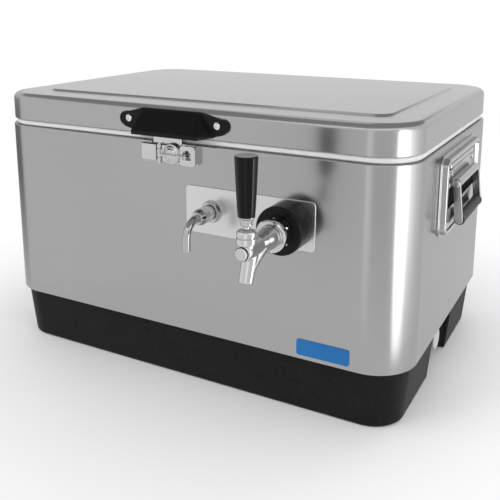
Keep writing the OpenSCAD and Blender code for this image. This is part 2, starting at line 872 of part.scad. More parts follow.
// ---- lid handle: a wedge that overhangs the white band, with a screwed ear each side ----

ear_x = 64.5;                         // screws of the lid handle
ear_z = lid_z + 18;
ear_half = 14.5;                      // half height of the ear plate
ear_t = 3.5;
wedge_top = lid_edge_z - 3.5;
wedge_low = lid_z + 1.5;
wedge_wall = 3;
strike_half = 12;                     // half width of the strike under the lid handle
strike_t = 1.2;
back_out = -lid_inset;                // the lid's face, out of the belt's face

module lid_bolts() {
    for (side = [-1, 1])
        on_front(side * ear_x, ear_z) children();
}

// Box given along X, up Z and out of the belt's face
module front_box(x0, x1, z0, z1, out0, out1) {
    box(x0, x1, front_y - out1, front_y - out0, z0, z1);
}

module wedge(grow, low, wall) {
    hull() {
        front_box(-lid_grip_half + 5 - wall, lid_grip_half - 5 + wall, wedge_top - 6 + 4 * grow,
            wedge_top + 3 * grow, wall_out(grow), wall_out(grow) + 2.5);
        front_box(-lid_grip_half - wall, lid_grip_half + wall, low, low + 5,
            wall_out(grow), lid_grip_out + grow);
        front_box(-lid_grip_half - 10 - wall, lid_grip_half + 10 + wall, low + (grow == 0 ? 1 : 0),
            low + 4, wall_out(grow), wall_out(grow) + 2);
    }
}

// Where the wedge starts: at the lid's face, or at the ear plate for its hollow
function wall_out(grow) = grow == 0 ? back_out : back_out + ear_t;

module lid_handle() {
    color("#141517") difference() {
        union() {
            wedge(0, wedge_low, 0);
            on_front(0, 0, back_out) ear_plate();
        }
        wedge(-wedge_wall, wedge_low - 6, -wedge_wall);
        front_box(-strike_half - seat, strike_half + seat, 0, ear_z + 2, back_out - cut,
            back_out + strike_t + seat);
        lid_bolts() disc(bolt_r + seat, back_out - cut, 2 * ear_t);
    }
}

module ear_plate() {
    linear_extrude(height = ear_t) union() {
        for (side = [-1, 1])
            translate([0, ear_z]) mirror([side < 0 ? 1 : 0, 0])
                polygon([[0, ear_half], [lid_grip_half - 5, ear_half], [ear_x + 5.5, ear_half / 2],
                    [ear_x + 14, 1.5], [ear_x + 7.5, 3.5 - ear_half], [ear_x - 6.5, -ear_half], [0, -ear_half]]);
        for (side = [-1, 1])
            translate([side * (ear_x + 6), ear_z - 1]) circle(r = 9);
    }
}

module lid_handle_screws() {
    color("#d8dadc") lid_bolts() difference() {
        fastener(back_out + ear_t, 4.6, 2.4, lid_inset + bolt_l);
        for (a = [0, 90])
            rotate(a) translate([-2.4, -0.5, back_out + ear_t + 1.2]) cube([4.8, 1, 3]);
    }
}

strike_drop = 15;                     // how far the strike reaches below the belt's top edge
strike_low = belt_top - strike_drop;
strike_shoulder = belt_top - 2;
tongue_x0 = -8;
tongue_x1 = 12;
tongue_out = 0.5;

module lid_strike() {
    jog_z = lid_z - 2.5;
    color("#cfd1d3") union() {
        front_box(-strike_half, strike_half, lid_z + 0.5, ear_z, back_out + seat / 2, back_out + strike_t);
        front_box(-strike_half, strike_half, jog_z, lid_z + 0.5 + eps, back_out + seat / 2,
            tongue_out + strike_t);
        front_box(-28, 14, strike_shoulder, jog_z + eps, tongue_out, tongue_out + strike_t);
        front_box(tongue_x0, tongue_x1, strike_low, strike_shoulder + eps, tongue_out,
            tongue_out + strike_t);
    }
}

// ---- latch: a swinging lever on a plate that is riveted to the belt ----

latch_z = belt_top - 13.5;
latch_plate_t = 1.4;
latch_half_h = 12.7;
keeper_x0 = 15;
keeper_x1 = 37;
keeper_out = 8.5;
latch_pin_x = -17;
latch_pin_out = 5;
latch_pin_r = 1.5;
latch_eye_r = 3.2;
dome_x = 0.5;
dome_out0 = 3;
dome_out1 = 9;

module latch_bolts() {
    for (x = [-38, -27])
        on_front(x, latch_z) children();
    on_front((keeper_x0 + keeper_x1) / 2, latch_z - 7) children();
}

module latch_plate() {
    plate_x0 = -45;
    arch_x = (keeper_x0 + keeper_x1) / 2 - 1;
    eye_gap = 5.5;
    color("#c6c8ca") difference() {
        union() {
            on_front((plate_x0 + keeper_x1) / 2, latch_z)
                slab(keeper_x1 - plate_x0, 2 * latch_half_h, latch_plate_t, 2.5);
            on_front((keeper_x0 + keeper_x1) / 2, latch_z)
                slab(keeper_x1 - keeper_x0, 2 * latch_half_h - 1, keeper_out, 5);
            for (side = [-1, 1])
                latch_eye(side * (eye_gap + 3), 2.5);
        }
        // the keeper's hollow, open towards the lever
        front_box(keeper_x0 - cut, keeper_x1 - 1.6, latch_z - 10, latch_z + 10, latch_plate_t,
            keeper_out - 1.6);
        on_front(arch_x, latch_z + 1) disc(6, latch_plate_t, keeper_out + cut);
        front_box(arch_x - 6, arch_x + 6, latch_z - 5, latch_z + 1, latch_plate_t, keeper_out + cut);
        // room for the strike's tongue
        front_box(-31, keeper_x0 - eps, strike_shoulder - 1, latch_z + 2 * latch_half_h, -cut,
            2 * keeper_out);
        front_box(tongue_x0 - 2, tongue_x1 + 2, strike_low - 2, latch_z + 2 * latch_half_h, -cut,
            latch_plate_t + cut);
        latch_bolts() disc(bolt_r + seat, -cut, latch_plate_t + eps);
        latch_axis() disc(latch_pin_r + seat / 4, -2 * latch_half_h, 2 * latch_half_h);
    }
}

module latch_axis() {
    translate([latch_pin_x, front_y - latch_pin_out, latch_z]) children();
}

// An eye of the plate round the pin, centred dz above the middle
module latch_eye(dz, half) {
    latch_axis() disc(latch_eye_r, dz - half, dz + half);
    front_box(latch_pin_x - latch_eye_r, latch_pin_x + latch_eye_r * 0.4, latch_z + dz - half,
        latch_z + dz + half, latch_plate_t - eps, latch_pin_out);
}

module latch_rivets() {
    color("#b4b6b8") latch_bolts() fastener(latch_plate_t, 2.8, 1.3, bolt_l);
}

module latch_pin() {
    color("#9ea0a2") latch_axis() {
        disc(latch_pin_r, -latch_half_h + 0.5, latch_half_h - 0.8);
        disc(latch_pin_r + 0.8, -latch_half_h - 0.2, -latch_half_h + 0.5 + eps);
    }
}

module latch_lever() {
    eye_half = 5.5 - free;
    fin_t = 1.8;
    fin_end = 28;
    color("#cfd1d3") difference() {
        union() {
            on_front(dome_x, latch_z) {
                disc(dome_r, dome_out0, dome_out1 - 3);
                cone(dome_r, dome_r - 2, dome_out1 - 3 - eps, dome_out1 - 2);
                disc(dome_r * 0.62, dome_out1 - 2 - eps, dome_out1 - 1);
                disc(dome_r * 0.36, dome_out1 - 1 - eps, dome_out1);
            }
            latch_axis() disc(latch_eye_r, -eye_half, eye_half);
            front_box(latch_pin_x, dome_x, latch_z - eye_half, latch_z + eye_half, 3.4, 6);
            front_box(dome_x - dome_r, dome_x + dome_r, latch_z - fin_t / 2, latch_z + fin_t / 2, 5, 14);
            front_box(dome_x, fin_end, latch_z - fin_t / 2, latch_z + fin_t / 2, keeper_out + free, 14);
        }
        latch_axis() disc(latch_pin_r + run, -2 * eye_half, 2 * eye_half);
    }
}

// ---- hinges at the back of the lid ----

leaf_t = 1.5;
pin_out = 5.2;
hinge_z = belt_top + 4.3;
hinge_pin_r = 2;
knuckles = 5;
knuckle_gap = 0.4;
body_screw_z = belt_top - 18;
lid_screw_z = lid_z + 13;
web_out = 3;

module hinge_bolts(z) {
    for (side = [-1, 1], dx = [-1, 0, 1])
        on_back(side * hinge_x + dx * hinge_w / 3, z) children();
}

// Knuckles first, first + 2 and so on, with the webs that join them to their leaf
module hinge_knuckles(first, web_z0, web_z1, web_in) {
    pitch = hinge_w / knuckles;
    for (i = [first : 2 : knuckles - 1]) {
        x0 = -hinge_w / 2 + i * pitch + knuckle_gap / 2;
        x1 = x0 + pitch - knuckle_gap;
        translate([x0, rear_y + pin_out, hinge_z]) rotate([0, 90, 0])
            cylinder(r = knuckle_r, h = x1 - x0);
        box(x0, x1, rear_y + web_in, rear_y + web_out, web_z0, web_z1);
    }
}

module hinge_leaf(side, is_lid) {
    in = is_lid ? -lid_inset : 0;
    z0 = is_lid ? lid_z + 1 : belt_top - 30;
    z1 = is_lid ? lid_z + 25 : belt_top;
    web_z0 = is_lid ? hinge_z : belt_top - 2;
    web_z1 = is_lid ? lid_z + 2 : hinge_z;
    color("#bfc1c3") translate([side * hinge_x, 0, 0]) difference() {
        union() {
            box(-hinge_w / 2, hinge_w / 2, rear_y + in, rear_y + in + leaf_t, z0, z1);
            hinge_knuckles(is_lid ? 1 : 0, web_z0, web_z1, in);
        }
        translate([-hinge_w, rear_y + pin_out, hinge_z]) rotate([0, 90, 0])
            cylinder(r = hinge_pin_r + (is_lid ? run : seat / 4), h = 2 * hinge_w);
        for (dx = [-1, 0, 1])
            on_back(dx * hinge_w / 3, is_lid ? lid_screw_z : body_screw_z)
                disc(bolt_r + seat, -2 * lid_inset, 2 * leaf_t);
    }
}

module body_hinge_leaf_left() { hinge_leaf(-1, false); }
module body_hinge_leaf_right() { hinge_leaf(1, false); }
module lid_hinge_leaf_left() { hinge_leaf(-1, true); }
module lid_hinge_leaf_right() { hinge_leaf(1, true); }

module hinge_pins() {
    color("#9ea0a2") for (side = [-1, 1])
        translate([side * hinge_x, rear_y + pin_out, hinge_z]) rotate([0, 90, 0]) {
            disc(hinge_pin_r, -hinge_w / 2 - 0.5, hinge_w / 2 + 0.5);
            for (end = [-1, 1])
                disc(hinge_pin_r + 0.9, end * (hinge_w / 2 + 1.2) - 0.8, end * (hinge_w / 2 + 1.2) + 0.8);
        }
}

module body_hinge_screws() {
    color("#c8cacc") hinge_bolts(body_screw_z) fastener(leaf_t, 3.4, 1.8, bolt_l);
}

module lid_hinge_screws() {
    color("#c8cacc") hinge_bolts(lid_screw_z) fastener(leaf_t - lid_inset, 3.4, 1.8, lid_inset + bolt_l);
}

// ---- carry handles: a pressed plate, a barrel, a pin and a bail with a grip ----

dish_z = belt_top - dish_drop;
dish_sheet = 1.5;
dish_floor = 4;                       // outer face of the plate's floor, out of the belt
dish_frame = 10;                      // width of the raised frame
dish_r = 14;
barrel_z = dish_z + 11.5;
barrel_out = 12;
tube_r = 5.5;                         // the barrel
handle_pin_r = 2.5;
arm_t = 3;
arm_r = 5;
arm_x = grip_l / 2 + 0.5;
grip_lean = 5;                        // how far the grip hangs outside its pivot
grip_rod_r = 3;
bolt_x = dish_w / 2 - 28;

module dish_bolts(side) {
    for (u = [-1, 1], v = [-20, 23])
        on_end(side, dish_z) translate([u * bolt_x, v, 0]) children();
}

module dish_slab(inset, h) {
    slab(dish_w - 2 * inset, dish_h - 2 * inset, h, dish_r - inset);
}

module handle_plate(side) {
    color("#b2b4b6") difference() {
        on_end(side, dish_z) difference() {
            dish_slab(0, dish_rise);
            // the pressed pan
            translate([0, 0, dish_floor]) dish_slab(dish_frame, dish_rise);
            // hollow behind the frame and behind the floor
            difference() {
                translate([0, 0, -cut]) dish_slab(dish_sheet, dish_rise - dish_sheet + cut);
                translate([0, 0, -2 * cut]) dish_slab(dish_frame - dish_sheet, dish_rise + 4 * cut);
            }
            translate([0, 0, -cut]) dish_slab(dish_frame, dish_floor - dish_sheet + cut);
        }
        dish_bolts(side) disc(bolt_r + seat, -cut, 2 * dish_floor);
    }
}

module handle_barrel(side) {
    half = grip_l / 2;
    color("#a6a8aa") on_end(side, barrel_z) difference() {
        union() {
            translate([-half, 0, barrel_out]) rotate([0, 90, 0]) cylinder(r = tube_r, h = 2 * half);
            box(-half + 6, half - 6, -2.5, 2.5, dish_floor, barrel_out);
            box(-half + 6, half - 6, -7, 18, dish_floor, dish_floor + dish_sheet);
        }
        translate([-half - cut, 0, barrel_out]) rotate([0, 90, 0])
            cylinder(r = handle_pin_r + seat / 4, h = 2 * half + 2 * cut);
    }
}

module handle_pin(side) {
    tip = arm_x + arm_t + free;
    color("#8f9193") on_end(side, barrel_z) translate([0, 0, barrel_out]) rotate([0, 90, 0]) {
        disc(handle_pin_r, -tip, tip);
        for (end = [-1, 1])
            disc(handle_pin_r + 1.6, end * (tip + 0.8) - 0.8 - eps, end * (tip + 0.8) + 0.8 + eps);
    }
}

module handle_rivets() {
    color("#c8cacc") for (side = [-1, 1])
        dish_bolts(side) fastener(dish_floor, 3.6, 2, bolt_l);
}

// Direction from the pivot to the grip, as an angle from straight down
bail_lean = atan2(grip_lean, bail_h);
bail_l = norm([grip_lean, bail_h]);

module bail(side) {
    color("#9c9ea0") on_end(side, barrel_z) translate([0, 0, barrel_out])
        rotate([-bail_lean, 0, 0]) difference() {
            union() {
                for (end = [-1, 1])
                    translate([end * (arm_x + arm_t / 2), 0, 0]) rotate([0, 90, 0]) {
                        disc(arm_r, -arm_t / 2, arm_t / 2);
                        translate([0, -bail_l, 0]) disc(arm_r, -arm_t / 2, arm_t / 2);
                        box(-arm_r, arm_r, -bail_l, 0, -arm_t / 2, arm_t / 2);
                    }
                translate([-arm_x - eps, -bail_l, 0]) rotate([0, 90, 0])
                    cylinder(r = grip_rod_r, h = 2 * arm_x + 2 * eps);
            }
            translate([-arm_x - 2 * arm_t, 0, 0]) rotate([0, 90, 0])
                cylinder(r = handle_pin_r + run, h = 2 * arm_x + 4 * arm_t);
        }
}

module grip(side) {
    half = grip_l / 2;
    color("#1b1c1e") on_end(side, barrel_z) translate([0, 0, barrel_out]) rotate([-bail_lean, 0, 0])
        translate([-half, -bail_l, 0]) rotate([0, 90, 0]) difference() {
            disc(grip_d / 2, 0, 2 * half);
            disc(grip_rod_r + run, -cut, 2 * half + cut);
        }
}

module handle_plate_left() { handle_plate(-1); }
module handle_plate_right() { handle_plate(1); }
module handle_barrel_left() { handle_barrel(-1); }
module handle_barrel_right() { handle_barrel(1); }
module handle_pin_left() { handle_pin(-1); }
module handle_pin_right() { handle_pin(1); }
module bail_left() { bail(-1); }
module bail_right() { bail(1); }
module grip_left() { grip(-1); }
module grip_right() { grip(1); }

base_tray();
steel_belt();
body_foam();
tub_liner();
drain_body();
drain_gasket();
drain_nut();
drain_cap();
faceplate();
badge_plate();
inlet_shank();
inlet_hex_nut();
inlet_fitting();
inlet_elbow();
inlet_lock_nut();
inlet_tail_nut();
faucet_shank();
shank_collar();
shank_lock_nut();
shank_tail_nut();
coupling_nut();
faucet_body();
faucet_front_cap();
lever_bonnet();
faucet_lever();
tap_ferrule();
tap_handle();
faucet_shaft();
shaft_seal();
cooling_coil();
body_hinge_leaf_left();
body_hinge_leaf_right();
lid_hinge_leaf_left();
lid_hinge_leaf_right();
hinge_pins();
body_hinge_screws();
lid_hinge_screws();
lid_skin();
lid_liner();
lid_foam();
lid_gasket();
lid_handle();
lid_handle_screws();
lid_strike();
latch_plate();
latch_rivets();
latch_pin();
latch_lever();
handle_plate_left();
handle_plate_right();
handle_barrel_left();
handle_barrel_right();
handle_pin_left();
handle_pin_right();
handle_rivets();
bail_left();
bail_right();
grip_left();
grip_right();
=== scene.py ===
import math

import bmesh
import bpy
import numpy as np
from mathutils import Matrix


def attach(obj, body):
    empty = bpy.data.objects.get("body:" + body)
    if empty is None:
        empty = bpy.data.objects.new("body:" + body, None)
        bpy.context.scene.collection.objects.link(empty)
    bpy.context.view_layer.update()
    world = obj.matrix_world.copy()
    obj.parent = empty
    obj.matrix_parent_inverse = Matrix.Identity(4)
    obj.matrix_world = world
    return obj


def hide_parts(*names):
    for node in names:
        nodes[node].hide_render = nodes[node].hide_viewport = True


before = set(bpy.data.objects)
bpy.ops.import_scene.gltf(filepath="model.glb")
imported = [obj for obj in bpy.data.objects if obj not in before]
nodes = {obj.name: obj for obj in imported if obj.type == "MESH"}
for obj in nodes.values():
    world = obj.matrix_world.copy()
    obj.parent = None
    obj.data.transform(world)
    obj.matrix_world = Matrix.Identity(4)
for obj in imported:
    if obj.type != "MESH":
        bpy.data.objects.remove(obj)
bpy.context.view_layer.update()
print("frame loaded:", len(nodes), "nodes")

# Sizes are in millimetres and become metres where a mesh is filled
mm = 0.001
frontY = -206.0      # the belt's front face; the rear one is its mirror image
endX = 300.0         # the belt's right end
cornerR = 54.0       # its upright corners
beltSize = np.array([endX, -frontY, cornerR])
beltLow, beltTop = 73.0, 318.0
rimTop = 325.0       # the tub's rim, which shows between belt and lid
lidLow, lidEdge, lidTop = 326.0, 362.0, 364.0
fitZ = 238.0         # height of the inlet and the tap
inletX, tapX = 55.0, 160.0
standOff = 0.02      # a flat plate's gap to the wall behind it


def added(name, data):
    thing = bpy.data.objects.new(name, data)
    bpy.context.scene.collection.objects.link(thing)
    return thing


def addNode(tree, kind, **inputs):
    node = tree.nodes.new(kind)
    for name, value in inputs.items():
        node.inputs[name.replace("_", " ")].default_value = value
    return node


# A Math node on two numbers or sockets
def mathNode(tree, operation, a, b, clamp=False):
    node = tree.nodes.new("ShaderNodeMath")
    node.operation = operation
    node.use_clamp = clamp
    for slot, value in enumerate((a, b)):
        if isinstance(value, (int, float)):
            node.inputs[slot].default_value = value
        else:
            tree.links.new(value, node.inputs[slot])
    return node.outputs[0]


def mixShaders(tree, share, first, second):
    mix = tree.nodes.new("ShaderNodeMixShader")
    for socket, slot in zip((share, first.outputs[0], second.outputs[0]), mix.inputs):
        tree.links.new(socket, slot)
    return mix.outputs[0]


# Camera: angles in degrees, distance and target in mm, the focal length in pixels of a square picture
cameraSettings = {"yaw": 28.51, "pitch": 11.93, "distance": 1071.6, "target": (-4.5, 0.0, 269.72),
                  "focalPixels": 719.24, "photoPixels": 500, "shiftUp": -0.2}


# The camera looks at the target from distance * (sin yaw cos pitch, -cos yaw cos pitch, sin pitch)
def makeCamera(s):
    yaw, pitch = math.radians(s["yaw"]), math.radians(s["pitch"])
    away = np.array([math.sin(yaw) * math.cos(pitch), -math.cos(yaw) * math.cos(pitch), math.sin(pitch)])
    data = bpy.data.cameras.new("camera")
    data.sensor_width = 36
    data.lens = 36 * s["focalPixels"] / s["photoPixels"]
    data.shift_y = s["shiftUp"]
    data.clip_start = 0.02
    camera = added("camera", data)
    camera.location = (np.array(s["target"]) + s["distance"] * away) * mm
    camera.rotation_euler = (math.pi / 2 - pitch, 0, yaw)
    bpy.context.scene.camera = camera
    bpy.context.scene.view_settings.view_transform = "Standard"


# Two sockets: 1 for what is seen straight, in a mirror or through glass, and 1 for what is seen in a mirror
def seenRays(tree):
    path = tree.nodes.new("ShaderNodeLightPath")
    mirrored = path.outputs["Is Glossy Ray"]
    seen = mathNode(tree, "MAXIMUM", path.outputs["Is Camera Ray"], mirrored)
    return mathNode(tree, "MAXIMUM", seen, path.outputs["Is Transmission Ray"]), mirrored


worldSettings = {"diffuseStrength": 0.62}


# White for the camera and in reflections, a plain softer light on everything else
def makeWorld(s):
    world = bpy.data.worlds.new("studio")
    bpy.context.scene.world = world
    world.use_nodes = True
    tree = world.node_tree
    tree.nodes.clear()
    plain = addNode(tree, "ShaderNodeBackground", Color=(1, 1, 1, 1), Strength=s["diffuseStrength"])
    white = addNode(tree, "ShaderNodeBackground", Color=(1, 1, 1, 1), Strength=1.0)
    out = tree.nodes.new("ShaderNodeOutputWorld")
    tree.links.new(mixShaders(tree, seenRays(tree)[0], plain, white), out.inputs["Surface"])


# Soft boxes: place, aim and size in metres, power in watts. Metal mirrors the light tent instead of them
softBoxes = {
    "keyLight": {"at": (-0.9, -1.3, 1.7), "aim": (0.0, 0.0, 0.2), "size": (1.2, 1.2), "watts": 14},
    "stripLight": {"at": (1.35, -0.5, 0.55), "aim": (0.28, -0.18, 0.2), "size": (0.34, 1.5), "watts": 5},
    "backLight": {"at": (0.5, 1.4, 1.6), "aim": (0.0, 0.0, 0.3), "size": (1.4, 1.0), "watts": 10},
}


def makeSoftBox(name, s):
    data = bpy.data.lights.new(name, "AREA")
    data.shape = "RECTANGLE"
    data.size, data.size_y = s["size"]
    data.energy = s["watts"]
    lamp = added(name, data)
    at, aim = np.array(s["at"]), np.array(s["aim"])
    forward = (aim - at) / np.linalg.norm(aim - at)
    right = np.cross(forward, (0, 0, 1))
    right /= np.linalg.norm(right)
    turn = np.eye(4)
    turn[:3] = np.stack([right, np.cross(right, forward), -forward, at], -1)
    lamp.matrix_world = Matrix(turn.tolist())
    lamp.visible_camera = lamp.visible_glossy = False


# Faces over a grid of points, four corners each; rows and columns may close into rings
def gridFaces(rows, cols, closeRows=False, closeCols=False):
    i = np.arange(rows if closeRows else rows - 1)[:, None]
    j = np.arange(cols if closeCols else cols - 1)
    nextRow, nextCol = (i + 1) % rows, (j + 1) % cols
    corners = np.stack([i * cols + j, i * cols + nextCol, nextRow * cols + nextCol, nextRow * cols + j], -1)
    return corners.reshape(-1, 4).tolist()


# The light tent, which only reflections see: part of an upright cylinder wall, in metres. Its glow goes by
# direction, as (degrees from the front towards the right end, glow); share says, as (height, share), how much
# of its difference from 1 is left at a height. rim is added from rimFrom up, and a darker roof leans in to
# (radius, height)
tent = {"radius": 0.52, "points": 493,
        "heights": (0.0, 0.015, 0.03, 0.06, 0.09, 0.2, 0.3, 0.435, 0.455, 0.53),
        "glow": ((-96, 0.3), (-62, 0.3), (-57, 1.0), (-20, 1.02), (-8, 0.97), (8, 0.88), (18, 0.88),
                 (22, 1.3), (27, 1.2), (32, 0.82), (56.5, 0.82), (60, 8.0), (65, 7.0), (70.5, 2.2),
                 (84, 1.3), (100, 1.0), (150, 0.9)),
        "share": ((0.0, 0.18), (0.2, 1.0), (0.31, 1.0), (0.435, 0.04)), "rimFrom": 0.455,
        "rim": ((-25, 0.0), (15, 0.7), (48, 0.7), (68, 0.084)), "roof": (0.14, 0.8), "roofGlow": 0.42,
        "roofGap": 0.002}


def makeTent(s):
    turns, glows = np.transpose(s["glow"])
    a = np.linspace(turns[0], turns[-1], s["points"])
    z = np.array(s["heights"])
    share = np.interp(z, *np.transpose(s["share"]))[:, None]
    wall = 1 + (np.interp(a, turns, glows) - 1) * share
    wall += np.interp(a, *np.transpose(s["rim"])) * (z >= s["rimFrom"])[:, None]
    glow = np.concatenate([wall, np.full((2, len(a)), s["roofGlow"])])
    r = np.append(np.full(len(z) + 1, s["radius"]), s["roof"][0])[:, None]
    z = np.append(z, [z[-1] + s["roofGap"], s["roof"][1]])[:, None]
    turn = np.radians(a)
    grid = np.stack(np.broadcast_arrays(r * np.sin(turn), -r * np.cos(turn), z), -1)
    mesh = bpy.data.meshes.new("lightTent")
    mesh.from_pydata(grid.reshape(-1, 3).tolist(), [], gridFaces(len(z), len(a)))
    mesh.attributes.new("glow", "FLOAT", "POINT").data.foreach_set("value", glow.ravel())
    material = bpy.data.materials.new("tentGlow")
    material.use_nodes = True
    tree = material.node_tree
    tree.nodes.remove(tree.nodes["Principled BSDF"])
    given = tree.nodes.new("ShaderNodeAttribute")
    given.attribute_name = "glow"
    emit = addNode(tree, "ShaderNodeEmission", Color=(1, 1, 1, 1))
    tree.links.new(given.outputs["Fac"], emit.inputs["Strength"])
    tree.links.new(emit.outputs[0], tree.nodes["Material Output"].inputs["Surface"])
    mesh.materials.append(material)
    piece = added("lightTent", mesh)
    piece.visible_camera = piece.visible_diffuse = piece.visible_shadow = piece.visible_transmission = False


makeCamera(cameraSettings)
makeWorld(worldSettings)
for lampName, lampSettings in softBoxes.items():
    makeSoftBox(lampName, lampSettings)
makeTent(tent)
print("camera and lights ready")


# A skin over a grid of points (rows, columns, xyz in mm). Columns run round and close; rows close into a
# ring, or the first and the last one get a cap
def surface(name, grid, ring=False):
    rows, cols = grid.shape[:2]
    faces = gridFaces(rows, cols, ring, True)
    if not ring:
        faces += [list(range(cols))[::-1], list(range((rows - 1) * cols, rows * cols))]
    mesh = bpy.data.meshes.new(name)
    mesh.from_pydata((grid.reshape(-1, 3) * mm).tolist(), [], faces)
    return meshObject(name, mesh)


sharpAngle = 50      # edges that bend more, in degrees, stay sharp


def meshObject(name, mesh):
    work = bmesh.new()
    work.from_mesh(mesh)
    bmesh.ops.remove_doubles(work, verts=work.verts, dist=1e-6)
    bmesh.ops.recalc_face_normals(work, faces=work.faces)
    work.to_mesh(mesh)
    work.free()
    mesh.shade_smooth()
    mesh.set_sharp_from_angle(angle=math.radians(sharpAngle))
    piece = added(name, mesh)
    piece.modifiers.new("weighted", "WEIGHTED_NORMAL").keep_sharp = True
    return piece


# Points of a bent line whose corners, given as (x, y, radius), are rounded: each becomes an arc that touches
# both of its sides
def rounded(corners, steps=6, closed=False):
    corners = np.array(corners, float)
    points, count = corners[:, :2], len(corners)
    out = []
    for k, r in enumerate(corners[:, 2]):
        if r == 0 or (not closed and k in (0, count - 1)):
            out.append(points[k][None])
            continue
        a = points[k - 1] - points[k]
        b = points[(k + 1) % count] - points[k]
        a, b = a / np.linalg.norm(a), b / np.linalg.norm(b)
        half = math.acos(np.clip(a @ b, -1, 1)) / 2
        centre = points[k] + (a + b) / np.linalg.norm(a + b) * r / math.sin(half)
        start, end = points[k] + a * r / math.tan(half) - centre, points[k] + b * r / math.tan(half) - centre
        t = np.linspace(0, 1, steps + 1)[:, None]
        arc = start * (1 - t) + end * t
        out.append(centre + r * arc / np.linalg.norm(arc, axis=1, keepdims=True))
    return np.concatenate(out)


# Rounded rectangles, one a row: corner centres lie r inside the corners, plus r * (cos a, sin a)
def roundRect(halfX, halfY, r, steps):
    a = (np.arange(4)[:, None] + np.linspace(0, 1, steps + 1)).ravel() * math.pi / 2
    signX = np.repeat([1, -1, -1, 1], steps + 1)
    signY = np.repeat([1, 1, -1, -1], steps + 1)
    halfX, halfY, r = (np.asarray(v, float)[:, None] for v in (halfX, halfY, r))
    return np.stack([signX * (halfX - r) + r * np.cos(a), signY * (halfY - r) + r * np.sin(a)], -1)


# A grid from flat outlines (rows, columns, xy) and the height of each row
def raised(flat, height):
    tall = np.broadcast_to(np.asarray(height)[:, None, None], flat.shape[:2] + (1,))
    return np.concatenate([flat, tall], -1)


# A profile of (inset, height) carried round a rounded rectangle, whose corners shrink with the inset
def sweepRect(name, halfX, halfY, r, profile, place, ring=False, steps=12, leastR=2.0):
    inset, height = np.asarray(profile, float).T
    radius = np.maximum(r - inset, np.minimum(leastR, np.minimum(halfX, halfY) - inset))
    return surface(name, place(raised(roundRect(halfX - inset, halfY - inset, radius, steps), height)), ring)


# Rows of (half length, half depth, corner radius, height) for a profile of (inset, height) inside a rectangle
def insetRows(size, profile, leastR=4.0):
    inset, height = np.asarray(profile, float).T
    return np.stack([size[0] - inset, size[1] - inset, np.maximum(size[2] - inset, leastR), height], -1)


# A closed skin over such rows, given in groups that run on into each other
def rectSkin(name, groups, steps):
    halfX, halfY, r, height = np.concatenate(groups).T
    return surface(name, raised(roundRect(halfX, halfY, r, steps), height))


# A profile of (radius, height) turned round the height axis
def lathe(name, profile, place, ring=False, sides=64):
    radius, height = np.asarray(profile, float).T[:, :, None]
    a = np.arange(sides) * 2 * math.pi / sides
    grid = np.stack(np.broadcast_arrays(radius * np.cos(a), radius * np.sin(a), height), -1)
    return surface(name, place(grid), ring)


# An outline that runs anticlockwise (points, xy) carries a profile of (inset, height); insets go along its
# inward normals, which lie square to the mean direction of the two sides at a point
def sweepOutline(name, outline, profile, place):
    sides = np.roll(outline, -1, 0) - outline
    sides /= np.linalg.norm(sides, axis=1, keepdims=True)
    along = sides + np.roll(sides, 1, 0)
    along /= np.linalg.norm(along, axis=1, keepdims=True)
    inward = np.stack([-along[:, 1], along[:, 0]], -1)
    inset, height = np.asarray(profile, float).T
    return surface(name, place(raised(outline + inset[:, None, None] * inward, height)), ring=True)


# A round tube: rings of the given radii square to the path, each ring's frame carried on from the one before.
# With a bore, the rings come back along the inside
def tube(name, path, radii, sides, bore=None):
    path = np.asarray(path, float)
    along = np.gradient(path, axis=0)
    along /= np.linalg.norm(along, axis=1, keepdims=True)
    side = np.empty_like(path)
    carried = np.cross(along[0], (1.0, 0.0, 0.0) if abs(along[0][2]) > 0.9 else (0.0, 0.0, 1.0))
    for k, direction in enumerate(along):
        carried = carried - (carried @ direction) * direction
        carried = carried / np.linalg.norm(carried)
        side[k] = carried
    a = np.arange(sides)[:, None] * 2 * math.pi / sides
    spokes = side[:, None] * np.cos(a) + np.cross(along, side)[:, None] * np.sin(a)
    grid = path[:, None] + np.broadcast_to(radii, len(path))[:, None, None] * spokes
    if bore is not None:
        grid = np.concatenate([grid, (path[:, None] + bore * spokes)[::-1]])
    return surface(name, grid, ring=bore is not None)


# Local x, y and height become places on the object: upright, on the front, or on an end
def standing(x=0.0, y=0.0, z=0.0):
    return lambda g: g + np.array([x, y, z])


def onFront(x, z):
    return lambda g: np.stack([x + g[..., 0], frontY - g[..., 2], z + g[..., 1]], -1)


def onEnd(side, z):
    return lambda g: np.stack([side * (endX + g[..., 2]), g[..., 0], z + g[..., 1]], -1)


# A box with every edge rounded: a small rounded rectangle swept by a profile that is rounded at both ends
def softBox(name, low, high, r, place):
    low, high = np.array(low, float), np.array(high, float)
    half, middle = (high - low) / 2, (high + low) / 2
    deep = min(1.4 * r, 0.9 * half[:2].min())
    profile = rounded([(deep, low[2], 0), (0, low[2], r), (0, high[2], r), (deep, high[2], 0)], steps=4)
    lift = lambda g: place(g + np.array([middle[0], middle[1], 0.0]))
    return sweepRect(name, half[0], half[1], r, profile, lift, steps=4, leastR=0.1 * r)


# Several pieces become one, each with its own closed skin
def joined(name, pieces):
    work = bmesh.new()
    for part in pieces:
        work.from_mesh(part.data)
        bpy.data.meshes.remove(part.data)
    mesh = bpy.data.meshes.new(name)
    work.to_mesh(mesh)
    work.free()
    return meshObject(name, mesh)


# Cuts the given pieces out of the body when it is worked
def drilled(body, drills):
    drill = joined(body.name + "Drill", drills)
    drill.modifiers.clear()
    drill.hide_render = True
    cut = body.modifiers.new("cut", "BOOLEAN")
    cut.operation, cut.object, cut.solver = "DIFFERENCE", drill, "EXACT"


